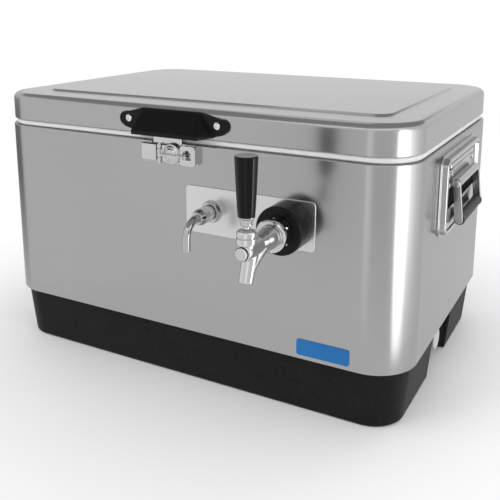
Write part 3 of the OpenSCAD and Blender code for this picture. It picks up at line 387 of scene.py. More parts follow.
# The piece with its modifiers worked into its mesh
def worked(piece):
    bpy.context.view_layer.update()
    mesh = bpy.data.meshes.new_from_object(piece.evaluated_get(bpy.context.evaluated_depsgraph_get()))
    name = piece.name
    spent = [piece.data] + [m.object.data for m in piece.modifiers if m.type == "BOOLEAN"]
    bpy.data.objects.remove(piece)
    for old in spent:
        bpy.data.meshes.remove(old)
    mesh.name = name
    return meshObject(name, mesh)


easing = {"merge": 2e-6, "flatAngle": 0.4, "edgeAngle": 35}      # metres and degrees


# A copy of a CAD node with its doubles merged, its flat faces joined and its edges bevelled, width in mm
def eased(node, width, segments, s=easing):
    mesh = nodes[node].data.copy()
    mesh.name = node + "Eased"
    work = bmesh.new()
    work.from_mesh(mesh)
    bmesh.ops.remove_doubles(work, verts=work.verts, dist=s["merge"])
    flat = math.radians(s["flatAngle"])
    bmesh.ops.dissolve_limit(work, angle_limit=flat, verts=work.verts, edges=work.edges)
    work.to_mesh(mesh)
    work.free()
    for attribute in ("custom_normal", "sharp_face", "sharp_edge"):
        if attribute in mesh.attributes:
            mesh.attributes.remove(mesh.attributes[attribute])
    mesh.shade_smooth()
    piece = added(mesh.name, mesh)
    bevel = piece.modifiers.new("bevel", "BEVEL")
    bevel.width = width * mm
    bevel.segments = segments
    bevel.limit_method = "ANGLE"
    bevel.angle_limit = math.radians(s["edgeAngle"])
    piece.modifiers.new("weighted", "WEIGHTED_NORMAL")
    return piece


# Noise on Object coordinates, stretched by scale, 0 to 1
def noise(tree, scale, detail):
    where = tree.nodes.new("ShaderNodeTexCoord")
    mapping = addNode(tree, "ShaderNodeMapping", Scale=scale)
    tree.links.new(where.outputs["Object"], mapping.inputs["Vector"])
    texture = addNode(tree, "ShaderNodeTexNoise", Scale=1.0, Detail=detail)
    tree.links.new(mapping.outputs[0], texture.inputs["Vector"])
    return texture.outputs["Fac"]


# first * a + second * b, no more than 1
def blended(tree, first, a, second, b):
    shares = mathNode(tree, "MULTIPLY", first, a), mathNode(tree, "MULTIPLY", second, b)
    return mathNode(tree, "ADD", *shares, clamp=True)


# An effect is a node group that several finishes share. Two colours, two roughnesses and perhaps a size go
# in; colour, roughness and a height for the bump come out
def newEffect(name, *numbers):
    group = bpy.data.node_groups.new(name, "ShaderNodeTree")
    colourKind, numberKind = "NodeSocketColor", "NodeSocketFloat"
    given = {"First Colour": colourKind, "Second Colour": colourKind}
    given.update({label: numberKind for label in ("Least Roughness", "Most Roughness", *numbers)})
    for label, kind in given.items():
        group.interface.new_socket(label, in_out="INPUT", socket_type=kind)
    for label, kind in (("Colour", colourKind), ("Roughness", numberKind), ("Height", numberKind)):
        group.interface.new_socket(label, in_out="OUTPUT", socket_type=kind)
    return group, group.nodes.new("NodeGroupInput")


# Colour and roughness run from the first to the second given value as the tone runs from 0 to 1
def endEffect(g, given, tone, height):
    colour = g.nodes.new("ShaderNodeMix")
    colour.data_type = "RGBA"
    g.links.new(tone, colour.inputs[0])
    g.links.new(given.outputs["First Colour"], colour.inputs[6])
    g.links.new(given.outputs["Second Colour"], colour.inputs[7])
    span = mathNode(g, "SUBTRACT", given.outputs["Most Roughness"], given.outputs["Least Roughness"])
    rough = mathNode(g, "ADD", mathNode(g, "MULTIPLY", tone, span), given.outputs["Least Roughness"])
    out = g.nodes.new("NodeGroupOutput")
    for label, socket in (("Colour", colour.outputs[2]), ("Roughness", rough), ("Height", height)):
        g.links.new(socket, out.inputs[label])
    return g


# Sheet metal with brush lines that run level: fine lines in z on upright faces and in y on level ones
def makeBrushed(fine=2600, coarse=4, cloudScale=3.5, levelFrom=0.7):
    g, given = newEffect("brushedMetal")
    where = g.nodes.new("ShaderNodeTexCoord")
    split = g.nodes.new("ShaderNodeSeparateXYZ")
    g.links.new(where.outputs["Normal"], split.inputs[0])
    isLevel = mathNode(g, "GREATER_THAN", mathNode(g, "ABSOLUTE", split.outputs["Z"], 0), levelFrom)
    lines = g.nodes.new("ShaderNodeMix")
    g.links.new(isLevel, lines.inputs[0])
    g.links.new(noise(g, (coarse, coarse, fine), 3), lines.inputs[2])
    g.links.new(noise(g, (coarse, fine, coarse), 3), lines.inputs[3])
    cloud = noise(g, (cloudScale,) * 3, 2)
    return endEffect(g, given, blended(g, lines.outputs[0], 0.5, cloud, 0.5), lines.outputs[0])


# Handling marks: a soft cloud of thin smears and a few fine specks
def makeSmears(specks=900.0):
    g, given = newEffect("smears", "Size")
    where = g.nodes.new("ShaderNodeTexCoord")
    cloud = addNode(g, "ShaderNodeTexNoise", Detail=5.0, Roughness=0.6, Distortion=0.8)
    g.links.new(given.outputs["Size"], cloud.inputs["Scale"])
    speck = addNode(g, "ShaderNodeTexNoise", Scale=specks, Detail=2.0)
    for texture in (cloud, speck):
        g.links.new(where.outputs["Object"], texture.inputs["Vector"])
    tone = cloud.outputs["Fac"]
    return endEffect(g, given, tone, blended(g, tone, 0.5, speck.outputs["Fac"], 0.5))


# Moulded plastic with an eroded grain: small cells, larger soft patches
def makeGrain(patchScale=30):
    g, given = newEffect("mouldGrain", "Size")
    where = g.nodes.new("ShaderNodeTexCoord")
    cells = g.nodes.new("ShaderNodeTexVoronoi")
    cells.feature = "SMOOTH_F1"
    g.links.new(where.outputs["Object"], cells.inputs["Vector"])
    g.links.new(given.outputs["Size"], cells.inputs["Scale"])
    grain = cells.outputs["Distance"]
    return endEffect(g, given, blended(g, grain, 0.7, noise(g, (patchScale,) * 3, 4), 0.45), grain)


effects = {"brushed": makeBrushed(), "smears": makeSmears(), "grain": makeGrain()}


# A colour given as it looks on a screen, 0 to 255, becomes a linear one; a single number gives a grey
def screen(shade):
    parts = np.broadcast_to(shade, 3) / 255
    linear = np.where(parts <= 0.04045, parts / 12.92, ((parts + 0.055) / 1.055) ** 2.4)
    return (*linear.tolist(), 1.0)


# What a finish needs: its effect, two shades, two roughnesses, the size of its marks, the bump's strength and
# depth, and the fixed numbers of its shader
def brushed(dark, light, least, most, tint=1.0):
    return "brushed", (dark, light), (least, most), None, (0.02, 0.00003), {
        "Metallic": 1.0, "Specular Tint": (tint, tint, tint, 1)}


def smeared(clean, handled, least, most, bump, metallic=1.0, specular=0.5):
    return "smears", (clean, handled), (least, most), 60.0, (bump, 0.0001), {
        "Metallic": metallic, "Specular IOR Level": specular}


def grained(deep, high, least, most, cell, bump, depth=0.0001, specular=0.5):
    return "grain", (deep, high), (least, most), cell, (bump, depth), {"Specular IOR Level": specular}


finishSettings = {
    "belt_steel": brushed(158, 171, 0.16, 0.24, tint=0.8),
    "lid_steel": brushed(160, 173, 0.17, 0.26, tint=0.88),
    "plate_steel": brushed(198, 210, 0.2, 0.28),
    "latch_steel": smeared(200, 186, 0.12, 0.22, 0.03),
    "hinge_steel": smeared(176, 160, 0.2, 0.34, 0.04),
    "handle_steel": smeared(172, 156, 0.16, 0.26, 0.04),
    "screw_steel": smeared(222, 202, 0.1, 0.18, 0.03),
    "coil_steel": smeared(184, 166, 0.12, 0.24, 0.05),
    "satin_metal": smeared(190, 174, 0.14, 0.24, 0.03),
    "chrome": smeared(204, 192, 0.05, 0.1, 0.02),
    "brass": smeared((196, 158, 84), (170, 130, 62), 0.2, 0.36, 0.04),
    "black_gloss": smeared(2, 6, 0.1, 0.16, 0.02, metallic=0.0, specular=0.18),
    "badge_blue": smeared((30, 118, 186), (24, 106, 172), 0.2, 0.3, 0.02, metallic=0.0, specular=0.25),
    "base_plastic": grained(1, 38, 0.42, 0.62, 480, 0.9, 0.0004, specular=0.08),
    "black_plastic": grained(4, 14, 0.2, 0.3, 1500, 0.15, specular=0.16),
    "grip_rubber": grained(30, 64, 0.4, 0.55, 1200, 0.2, specular=0.3),
    "seal_rubber": grained(10, 22, 0.6, 0.8, 1400, 0.2, specular=0.03),
    "white_plastic": grained(232, 240, 0.28, 0.4, 500, 0.06, specular=0.3),
    "drain_plastic": grained(196, 210, 0.35, 0.5, 700, 0.1, specular=0.3),
    "foam": grained((214, 200, 150), (236, 226, 188), 0.8, 0.95, 600, 0.6, 0.0006),
}


# A Principled finish: fixed numbers on its own sockets, colour, roughness and bump from one effect
def makeFinish(slotName, effect, shades, roughness, size, bump, fixed):
    first, *others = slotName.split("_")
    material = bpy.data.materials.new(first + "".join(word.title() for word in others))
    material.use_nodes = True
    tree = material.node_tree
    shader = tree.nodes["Principled BSDF"]
    for label, value in fixed.items():
        shader.inputs[label].default_value = value
    group = tree.nodes.new("ShaderNodeGroup")
    group.node_tree = effects[effect]
    given = {"First Colour": screen(shades[0]), "Second Colour": screen(shades[1]),
             "Least Roughness": roughness[0], "Most Roughness": roughness[1]}
    if size is not None:
        given["Size"] = size
    for label, value in given.items():
        group.inputs[label].default_value = value
    tree.links.new(group.outputs["Colour"], shader.inputs["Base Color"])
    tree.links.new(group.outputs["Roughness"], shader.inputs["Roughness"])
    relief = addNode(tree, "ShaderNodeBump", Strength=bump[0], Distance=bump[1])
    tree.links.new(group.outputs["Height"], relief.inputs["Height"])
    tree.links.new(relief.outputs["Normal"], shader.inputs["Normal"])
    return material


finishes = {slotName: makeFinish(slotName, *values) for slotName, values in finishSettings.items()}
for piece in nodes.values():
    for slot in piece.material_slots:
        slot.material = finishes[slot.material.name]
print("finishes ready:", len(finishes))


# The piece gets its finish, rides on its body and stands for the CAD node, if one is named
def settle(piece, body, slotName, node=None):
    piece.data.materials.clear()
    piece.data.materials.append(finishes[slotName])
    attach(piece, body)
    if node:
        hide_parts(node)


# A CAD node whose shape stays, with eased edges
def dress(node, body, slotName, width, segments=2):
    settle(eased(node, width, segments), body, slotName, node)


# The floor: half its width in metres, where its fade starts and ends, its share in mirrors, its shade
floorSettings = {"half": 4.0, "fade": (0.25, 0.68), "mirrored": 0.8, "shade": 250}


# A pale floor that turns into the white background with the distance from the object
def makeFloor(s):
    mesh = bpy.data.meshes.new("floor")
    h = s["half"]
    mesh.from_pydata([(-h, -h, 0), (h, -h, 0), (h, h, 0), (-h, h, 0)], [], [(0, 1, 2, 3)])
    material = bpy.data.materials.new("paleFloor")
    material.use_nodes = True
    tree = material.node_tree
    shader = tree.nodes["Principled BSDF"]
    for label, value in (("Base Color", screen(s["shade"])), ("Roughness", 0.9), ("Specular IOR Level", 0.1)):
        shader.inputs[label].default_value = value
    where = tree.nodes.new("ShaderNodeTexCoord")
    length = tree.nodes.new("ShaderNodeVectorMath")
    length.operation = "LENGTH"
    tree.links.new(where.outputs["Object"], length.inputs[0])
    fade = addNode(tree, "ShaderNodeMapRange", From_Min=s["fade"][0], From_Max=s["fade"][1])
    fade.interpolation_type = "SMOOTHSTEP"
    tree.links.new(length.outputs["Value"], fade.inputs["Value"])
    seen, mirrored = seenRays(tree)
    white = mathNode(tree, "MAXIMUM", mathNode(tree, "MULTIPLY", seen, fade.outputs[0]),
                     mathNode(tree, "MULTIPLY", mirrored, s["mirrored"]))
    glow = addNode(tree, "ShaderNodeEmission", Color=(1, 1, 1, 1), Strength=1.0)
    tree.links.new(mixShaders(tree, white, shader, glow), tree.nodes["Material Output"].inputs["Surface"])
    mesh.materials.append(material)
    added("floor", mesh)


makeFloor(floorSettings)

belt = {"sheet": 0.9, "hem": 7.0, "edgeR": 1.8, "hemR": 0.3}


# The steel belt: a sheet's section with a rolled hem at each edge, carried round the body
def makeBelt(s):
    t, r, hem, hemR = s["sheet"], s["edgeR"], s["hem"], s["hemR"]
    section = rounded([(0, beltLow, r), (0, beltTop, r), (hem, beltTop, hemR), (hem, beltTop - t, hemR),
                       (t, beltTop - t, r - t), (t, beltLow + t, r - t), (hem, beltLow + t, hemR),
                       (hem, beltLow, hemR)], closed=True)
    piece = sweepRect("beltSheet", *beltSize, section, standing(), ring=True, steps=24)
    settle(piece, "cooler", "belt_steel", "steel_belt")


tub = {"wall": 3.0, "inside": (265.0, 171.0, 30.0), "floor": 28.0, "rimInset": 4.0, "rimR": 1.8,
       "mouthR": 4.5, "floorR": 3.5, "seam": (1.0, 2.0), "seamR": 0.5, "capInset": 150.0}


# The white tub: rounded rectangles from the floor's middle up the inside, over the rim and down the outside
def makeTub(s):
    w, floor, cap, inner = s["wall"], s["floor"], s["capInset"], s["inside"]
    inside = rounded([(cap, floor, 0), (0, floor, s["floorR"]), (0, rimTop, s["mouthR"]),
                      (-20, rimTop, 0)])[:-1]
    seamZ, seamIn = beltTop + s["seam"][0], s["seam"][1]
    rim = rounded([(12, rimTop, 0), (0, rimTop, s["rimR"]), (0, seamZ, s["seamR"]), (seamIn, seamZ, 0),
                   (seamIn, beltTop, 0), (8, beltTop, 0)])
    outside = [(-w, beltTop), (-w, floor - w), (cap, floor - w)]
    groups = [insetRows(inner, inside), insetRows(beltSize - s["rimInset"], rim), insetRows(inner, outside)]
    settle(rectSkin("tubMoulding", groups, 16), "cooler", "white_plastic", "tub_liner")


lid = {"inset": 1.5, "sheet": 1.0, "edgeR": 9.0, "panel": (256.5, 154.5, 20.0), "panelSlope": 2.6,
       "panelR": 2.2, "hemR": 0.45, "capInset": 60.0}


# The lid's steel skin: rounded rectangles from the panel's hollow down the inside to the hem, then up the
# outside, over the edge and up the panel's step to its middle
def makeLidSkin(s):
    t, under, r, cap = s["sheet"], lidEdge - s["sheet"], s["panelR"], s["capInset"]
    hollow = [(cap, lidTop - t), (r, lidTop - t), (r, under)]
    skirt = rounded([(30, under, 0), (t, under, s["edgeR"] - t), (t, lidLow, s["hemR"]),
                     (0, lidLow, s["hemR"]), (0, lidEdge, s["edgeR"]), (30, lidEdge, 0)], steps=10)[1:-1]
    step = rounded([(-6, lidEdge, 0), (0, lidEdge, r), (s["panelSlope"], lidTop, r), (9, lidTop, 0)], steps=5)
    groups = [insetRows(s["panel"], hollow), insetRows(beltSize - s["inset"], skirt),
              insetRows(s["panel"], [*step, (cap, lidTop)])]
    settle(rectSkin("lidSkin", groups, 24), "lid", "lid_steel", "lid_skin")


lidPan = {"inset": 2.7, "low": 327.0, "thick": 3.0, "edgeRadii": (0.8, 0.5), "plugClear": 3.0,
          "plugLow": 307.0, "plugR": 5.0, "rootR": 2.5, "capInset": 120.0}


# The lid's inner pan: rounded rectangles over the plug's underside, up to the flange, round its edge and back
def makeLidPan(s):
    low, high, cap = s["low"], s["low"] + s["thick"], s["capInset"]
    plug = np.array(tub["inside"]) - s["plugClear"]
    under = rounded([(cap, s["plugLow"], 0), (0, s["plugLow"], s["plugR"]), (0, low, s["rootR"]),
                     (-8, low, 0)])
    lowR, highR = s["edgeRadii"]
    edge = rounded([(6, low, 0), (0, low, lowR), (0, high, highR), (6, high, 0)])
    groups = [insetRows(plug, under), insetRows(beltSize - s["inset"], edge), insetRows(plug, [(cap, high)])]
    settle(rectSkin("lidPan", groups, 16), "lid", "white_plastic", "lid_liner")


gasket = {"inset": 15.0, "wide": 8.0, "low": 325.2, "high": 327.0, "softR": 0.8, "seatR": 0.2}


# The gasket: a flat section, rounder where it meets the rim, carried round the lid
def makeGasket(s):
    w, low, high, softR, seatR = s["wide"], s["low"], s["high"], s["softR"], s["seatR"]
    section = rounded([(0, low, softR), (w, low, softR), (w, high, seatR), (0, high, seatR)], closed=True)
    piece = sweepRect("lidSeal", *(beltSize - s["inset"]), section, standing(), ring=True, steps=16)
    settle(piece, "lid", "seal_rubber", "lid_gasket")


makeBelt(belt)
makeTub(tub)
makeLidSkin(lid)
makeLidPan(lidPan)
makeGasket(gasket)
print("shells ready")

base = {"topInset": 6.0, "footInset": 13.0, "footR": 4.0, "notchHalf": 46.0, "notchBack": 272.2,
        "notchR": 14.0, "mouthR": 3.0, "sideHeights": (20, 40, 60, 72.4), "topEdge": (0.5, 0.05)}


# One row of the base's outline: a rounded rectangle with a rounded notch cut into each end. grow widens the
# notches and shrinks the rectangle, as the rounding at the foot does
def baseRow(s, inset, grow, steps=16):
    hx, hy, r = beltSize - inset - grow
    notch, back, backR = s["notchHalf"] + grow, s["notchBack"] - grow, s["notchR"] + grow
    mouthR = max(s["mouthR"] - grow, 0.4)
    right = rounded([(hx, hy - r, 0), (hx, notch, mouthR), (back, notch, backR), (back, -notch, backR),
                     (hx, -notch, mouthR), (hx, r - hy, 0)], steps=8)
    a = np.linspace(0, math.pi / 2, steps + 1)[1:]
    frontRight = np.stack([hx - r + r * np.cos(a), r - hy - r * np.sin(a)], -1)
    frontLeft = np.stack([r - hx - r * np.sin(a), r - hy - r * np.cos(a)], -1)[:-1]
    half = np.concatenate([right, frontRight, [(r - hx, -hy)], frontLeft])
    return np.concatenate([half, -half])


# The moulded base: such rows, as (inset, grow, height), round the foot's quarter circle, then up the flaring
# sides
def makeBase(s):
    foot, drop = s["footInset"], s["footR"]
    slope = (foot - s["topInset"]) / (beltLow - drop)
    turns = np.linspace(0, math.pi / 2, 7)
    rows = [(foot, drop * (1 - math.sin(t)), drop * (1 - math.cos(t))) for t in turns]
    rows += [(foot - slope * (z - drop), 0.0, z) for z in s["sideHeights"]]
    rows.append((s["topInset"], s["topEdge"][0], beltLow - s["topEdge"][1]))
    flat = np.array([baseRow(s, inset, grow) for inset, grow, z in rows])
    piece = surface("baseMoulding", raised(flat, [z for inset, grow, z in rows]))
    settle(piece, "cooler", "base_plastic", "base_tray")


makeBase(base)
print("base ready")

plate = {"middle": 105.0, "half": (86.5, 29.5), "thick": 1.5, "cornerR": 5.0, "edge": 0.5}


# The faceplate: a flat sheet whose front edge is eased
def makeFaceplate(s):
    t = s["thick"]
    section = rounded([(4, standOff, 0), (0, standOff, 0), (0, t, s["edge"]), (4, t, 0)], steps=4)
    place = onFront(s["middle"], fitZ)
    piece = sweepRect("faceplateSheet", *s["half"], s["cornerR"], section, place, leastR=0.8)
    settle(piece, "cooler", "plate_steel", "faceplate")


badge = {"x": 203.0, "z": 89.0, "half": (33.0, 10.0), "thick": 1.2, "cornerR": 3.0, "rim": 1.6, "sunk": 0.35}


# The bare badge: a flat plate with a low rim round a sunk field
def makeBadge(s):
    t, w, field = s["thick"], s["rim"], s["thick"] - s["sunk"]
    section = rounded([(3, standOff, 0), (0, standOff, 0), (0, t, 0.4), (w, t, 0.3), (w + 0.5, field, 0.3),
                       (w + 2, field, 0)], steps=4)
    piece = sweepRect("badgeBlank", *s["half"], s["cornerR"], section, onFront(s["x"], s["z"]), leastR=0.5)
    settle(piece, "cooler", "badge_blue", "badge_plate")


inlet = {"from": 8.0, "to": 35.0, "bodyR": 9.8, "noseR": 7.4, "threadR": 6.4, "tubeR": 4.75, "boreR": 3.25,
         "fit": 0.1, "tubeFrom": 20.2, "bendFrom": 37.0, "bendR": 20.0, "leg": 13.5, "lip": (0.4, 0.35)}


# The inlet's turned body: a narrow neck, two beads, a plain barrel and a tapered nose round the tube's seat
def makeInletBody(s):
    r, a, b, seatR = s["bodyR"], s["from"], s["to"], s["tubeR"] + s["fit"]
    section = rounded([(s["threadR"], a, 0), (r - 1.2, a, 0.3), (r - 1.2, a + 2, 0.2), (r, a + 2, 0.6),
                       (r, a + 7.4, 0.5), (r - 0.8, a + 7.8, 0.2), (r - 0.8, a + 8.8, 0.2), (r, a + 9.2, 0.5),
                       (r, b - 6.6, 1.6), (s["noseR"] + 0.4, b - 1, 0.8), (s["noseR"], b, 0.8), (seatR, b, 0),
                       (seatR, s["tubeFrom"], 0), (s["threadR"], s["tubeFrom"], 0)], steps=5, closed=True)
    body = lathe("inletBody", section, onFront(inletX, fitZ), ring=True)
    settle(body, "cooler", "satin_metal", "inlet_fitting")


# The inlet's tube: straight out of the fitting, a quarter bend down, then a short leg with an eased lip
def makeInletElbow(s):
    bend, bendR, leg = s["bendFrom"], s["bendR"], s["bendR"] + s["leg"]
    lip, lipEase = s["lip"]
    a = np.linspace(0, math.pi / 2, 25)[1:-1]
    out = np.concatenate([[s["tubeFrom"], bend], bend + bendR * np.sin(a), [bend + bendR] * 3])
    drop = np.concatenate([[0, 0], bendR * (1 - np.cos(a)), [bendR, leg - lip, leg]])
    path = np.stack([np.full(len(out), inletX), frontY - out, fitZ - drop], -1)
    radii = np.full(len(out), s["tubeR"])
    radii[-1] -= lipEase
    settle(tube("inletElbow", path, radii, 40, s["boreR"]), "cooler", "coil_steel", "inlet_elbow")


makeFaceplate(plate)
makeBadge(badge)
makeInletBody(inlet)
makeInletElbow(inlet)
dress("inlet_hex_nut", "cooler", "satin_metal", 0.5)
print("plates and inlet ready")

# The faucet's casting. out is the lever's distance from the belt; webFrom is counted back from the lever to
# the web's root, webTurn back and down, and webTo down the spout
faucet = {"out": 104.5, "neck": ((0, 0), (8.3, 0), (8.3, 12), (0, 12)),
          "barrel": ((0, 50), (11.3, 50), (11.3, 54), (13.3, 55.4), (13.6, 58), (12.8, 64), (11.4, 72),
                     (9.9, 82), (9.5, 95), (9.5, 108), (9.0, 111.5), (7.8, 113.4), (0, 113.4)),
          "spoutLean": 19.0, "spoutBack": 10.0, "spoutLength": 36.0, "spoutRadii": (8.7, 7.6),
          "lip": (0.8, 0.6), "webFrom": 42.0, "webTurn": (19.0, 4.0), "webTo": 21.0,
          "webRadii": (11.8, 8.2), "voxel": 0.55, "smoothing": 8, "spoutBore": 5.2, "boreDeep": 18.0,
          "shaftBoreR": 6.4, "shaftBore": (49.0, 111.4)}
tapAxis = onFront(tapX, fitZ)
tapFoot = standing(tapX, frontY - faucet["out"], fitZ)


# Points along the spout's middle line at the given distances, in mm
def spoutPoint(s, distance):
    lean = math.radians(s["spoutLean"])
    d = np.asarray(distance, float)
    return np.stack([np.full(d.shape, tapX), frontY - s["out"] + s["spoutBack"] - d * math.sin(lean),
                     fitZ - d * math.cos(lean)], -1)


# The casting: a turned barrel, the lever's neck, the spout and a web that flows from barrel to spout, all
# fused by a fine remesh and smoothed, then bored at the spout's mouth and along the shaft
def makeFaucet(s):
    barrel = lathe("barrel", s["barrel"], tapAxis, sides=96)
    neck = lathe("neck", s["neck"], tapFoot)
    length, (lip, lipEase) = s["spoutLength"], s["lip"]
    d = np.array([0.0, 12, 24, length - lip, length])
    radii = np.interp(d, [0, length], s["spoutRadii"])
    radii[-1] -= lipEase
    spout = tube("spout", spoutPoint(s, d), radii, 64)
    # the web bends along a quadratic curve from the back of the barrel to the middle of the spout
    t = np.linspace(0, 1, 20)[:, None]
    lever = np.array([tapX, frontY - s["out"], fitZ])
    back, turn = lever + (0, s["webFrom"], 0), lever + (0, s["webTurn"][0], -s["webTurn"][1])
    path = (1 - t) ** 2 * back + 2 * t * (1 - t) * turn + t ** 2 * spoutPoint(s, [s["webTo"]])
    web = tube("web", path, np.interp(t[:, 0], [0, 1], s["webRadii"]), 64)
    body = joined("faucetCasting", [barrel, neck, spout, web])
    body.modifiers.clear()
    fuse = body.modifiers.new("fuse", "REMESH")
    fuse.mode = "VOXEL"
    fuse.voxel_size = s["voxel"] * mm
    ease = body.modifiers.new("ease", "SMOOTH")
    ease.factor, ease.iterations = 0.5, s["smoothing"]
    mouth = tube("mouth", spoutPoint(s, [length - s["boreDeep"], length + 4]), s["spoutBore"], 48)
    run = [[tapX, frontY - out, fitZ] for out in s["shaftBore"]]
    drilled(body, [mouth, tube("shaftRun", run, s["shaftBoreR"], 48)])
    settle(worked(body), "cooler", "chrome", "faucet_body")


couplingNut = {"outerR": 18.6, "from": 33.0, "to": 53.0, "chamfer": (1.5, 1.4), "boreR": 14.4, "lipR": 11.6,
               "lipFrom": 50.0, "holes": 6, "holeR": 1.6, "holeFloorR": 16.3}


# The coupling nut: a ring with an inner lip, rounded edges and blind spanner holes round it
def makeNut(s):
    r, low, high, bore, lip = s["outerR"], s["from"], s["to"], s["boreR"], s["lipR"]
    cut, cutDown = s["chamfer"]
    section = rounded([(bore, low, 0.3), (r, low, 0.5), (r, high - cutDown, 0.7), (r - cut, high, 0.5),
                       (lip, high, 0.3), (lip, s["lipFrom"], 0.2), (bore, s["lipFrom"], 0.2)], 4, closed=True)
    nut = lathe("couplingNut", section, tapAxis, ring=True, sides=120)
    drills = []
    for a in (np.arange(s["holes"]) + 0.5) * 2 * math.pi / s["holes"]:
        reach = np.array([[s["holeFloorR"]], [r + 1]]) * [math.cos(a), 0, math.sin(a)]
        drills.append(tube("spannerHole", reach + [tapX, frontY - (low + high) / 2, fitZ], s["holeR"], 24))
    drilled(nut, drills)
    settle(worked(nut), "cooler", "chrome", "coupling_nut")


# Turned pieces of the tap, with corners of (radius, place along the axis, rounding). Those at tapAxis count
# from the belt's face outwards, those at tapFoot from the faucet's axis upwards
tapTurned = {
    "collarRing": {"corners": ((11.3, 1.5, 0), (28.5, 1.5, 0.5), (28.5, 32.5, 2.6), (11.3, 32.5, 0.4)),
                   "at": tapAxis, "ring": True, "steps": 8, "sides": 96,
                   "settled": ("cooler", "black_plastic", "shank_collar")},
    # two stacked beads over a skirt, open in the middle for the lever's stem
    "bonnetBeads": {"corners": ((8.6, 8, 0.2), (10.2, 8, 0.4), (10.4, 9.6, 0.5), (10.8, 10.4, 1.2),
                                (10.8, 14.6, 1.8), (9.5, 15.6, 0.4), (9.5, 16.2, 0.4), (10.4, 17, 1.2),
                                (10.4, 20.6, 1.6), (9.2, 22.5, 0.8), (7.5, 22.5, 0.4), (6.4, 17.8, 0.4),
                                (8.6, 16.5, 0.2)),
                    "at": tapFoot, "ring": True, "steps": 6, "sides": 96,
                    "settled": ("cooler", "chrome", "lever_bonnet")},
    "ferruleCup": {"corners": ((3.3, 27.5, 0), (5.6, 27.5, 0.6), (6.4, 28.6, 0.8), (6.0, 29.8, 0.8),
                               (7.6, 35.2, 1.0), (9.0, 36.6, 0.5), (9.0, 37.5, 0.3), (3.3, 37.5, 0)),
                   "at": tapFoot, "ring": True, "steps": 5, "sides": 96,
                   "settled": ("tap_lever", "satin_metal", "tap_ferrule")},
    "frontCapScrew": {"corners": ((0, 111.7, 0), (4.6, 111.7, 0), (4.6, 114.2, 0), (6.8, 114.2, 0.3),
                                  (6.8, 115.6, 0.7), (5.2, 116.5, 1.2), (0, 116.5, 0)),
                      "at": tapAxis, "ring": False, "steps": 6, "sides": 64,
                      "settled": ("cooler", "chrome", "faucet_front_cap")},
    "frontCapWasher": {"corners": ((4.8, 113.3, 0), (7.5, 113.3, 0.2), (7.5, 114.3, 0.3), (4.8, 114.3, 0)),
                       "at": tapAxis, "ring": True, "steps": 3, "sides": 64,
                       "settled": ("cooler", "seal_rubber")},
}


def makeTurned(name, s):
    section = rounded(s["corners"], s["steps"], closed=s["ring"])
    settle(lathe(name, section, s["at"], s["ring"], s["sides"]), *s["settled"])


tapHandle = {"foot": (8.5, 37.6), "radii": (9.0, 12.2), "heights": (38.1, 98.5), "swell": 0.5, "top": 100.5,
             "topR": 1.3}


# The handle swells a little more than a straight cone between its foot and its top
def makeTapHandle(s):
    (lowR, highR), (low, high) = s["radii"], s["heights"]
    t = np.linspace(0, 1, 18)
    radius = lowR + (highR - lowR) * t + s["swell"] * np.sin(math.pi * t) * (1 - t)
    side = np.stack([radius, low + (high - low) * t], -1)
    foot = [(0, s["foot"][1]), s["foot"]]
    top = rounded([(highR, high, 0), (highR, s["top"], s["topR"]), (0, s["top"], 0)])[1:]
    piece = lathe("tapHandleGrip", np.concatenate([foot, side, top]), tapFoot, sides=96)
    settle(piece, "tap_lever", "black_gloss", "tap_handle")


makeFaucet(faucet)
makeNut(couplingNut)
for turnedName, turnedSettings in tapTurned.items():
    makeTurned(turnedName, turnedSettings)
makeTapHandle(tapHandle)
print("tap ready")

coil = {"middle": (115.0, -5.0), "radius": 100.0, "turns": 24, "pitch": 10.0, "low": 32.95, "tubeR": 4.75,
        "bend": 20.0, "tailY": -157.0, "runY": -123.0, "ringsPerTurn": 48, "sides": 14}


# A quarter of a circle round c, from c + r u to c + r v
def quarter(c, u, v, r, steps=9):
    a = np.linspace(0, math.pi / 2, steps)[:, None]
    c, u, v = (np.asarray(w, float) for w in (c, u, v))
    return c + r * (np.cos(a) * u + np.sin(a) * v)


# The tube leaves the inlet's tail, drops, joins the lowest turn, climbs by the pitch each turn and returns to
# the tap's tail; the leads touch the coil where a level line from them is tangent to it
def makeCoil(s):
    (cx, cy), coilR, b = s["middle"], s["radius"], s["bend"]

    def touch(x, way):
        v = np.array([x - cx, s["runY"] - cy])
        return math.atan2(v[1], v[0]) + way * math.acos(coilR / np.linalg.norm(v))

    first, last = touch(inletX, 1), touch(tapX, -1) + 2 * math.pi * s["turns"]
    rounds = (last - first) / (2 * math.pi)
    high = s["low"] + s["pitch"] * rounds
    a = np.linspace(first, last, round(rounds * s["ringsPerTurn"]) + 1)
    height = np.interp(a, [first, last], [s["low"], high])
    turns = np.stack([cx + coilR * np.cos(a), cy + coilR * np.sin(a), height], -1)
    way = lambda angle: np.array([-math.sin(angle), math.cos(angle), 0.0])
    up, back = np.array([0.0, 0.0, 1.0]), np.array([0.0, 1.0, 0.0])
    tail, run = s["tailY"], s["runY"]
    path = np.concatenate([
        [[inletX, tail, fitZ]], quarter([inletX, run - b, fitZ - b], up, back, b),
        quarter(np.array([inletX, run, s["low"] + b]) + b * way(first), -way(first), -up, b), turns,
        quarter(np.array([tapX, run, high - b]) - b * way(last), up, way(last), b),
        quarter([tapX, run - b, fitZ + b], back, -up, b), [[tapX, tail, fitZ]]])
    settle(tube("coilTube", path, s["tubeR"], s["sides"]), "cooler", "coil_steel", "cooling_coil")


makeCoil(coil)
for fitting in ("inlet", "shank"):
    dress(fitting + "_lock_nut", "cooler", "satin_metal", 0.5)
    dress(fitting + "_tail_nut", "cooler", "brass", 0.5)
print("coil ready")

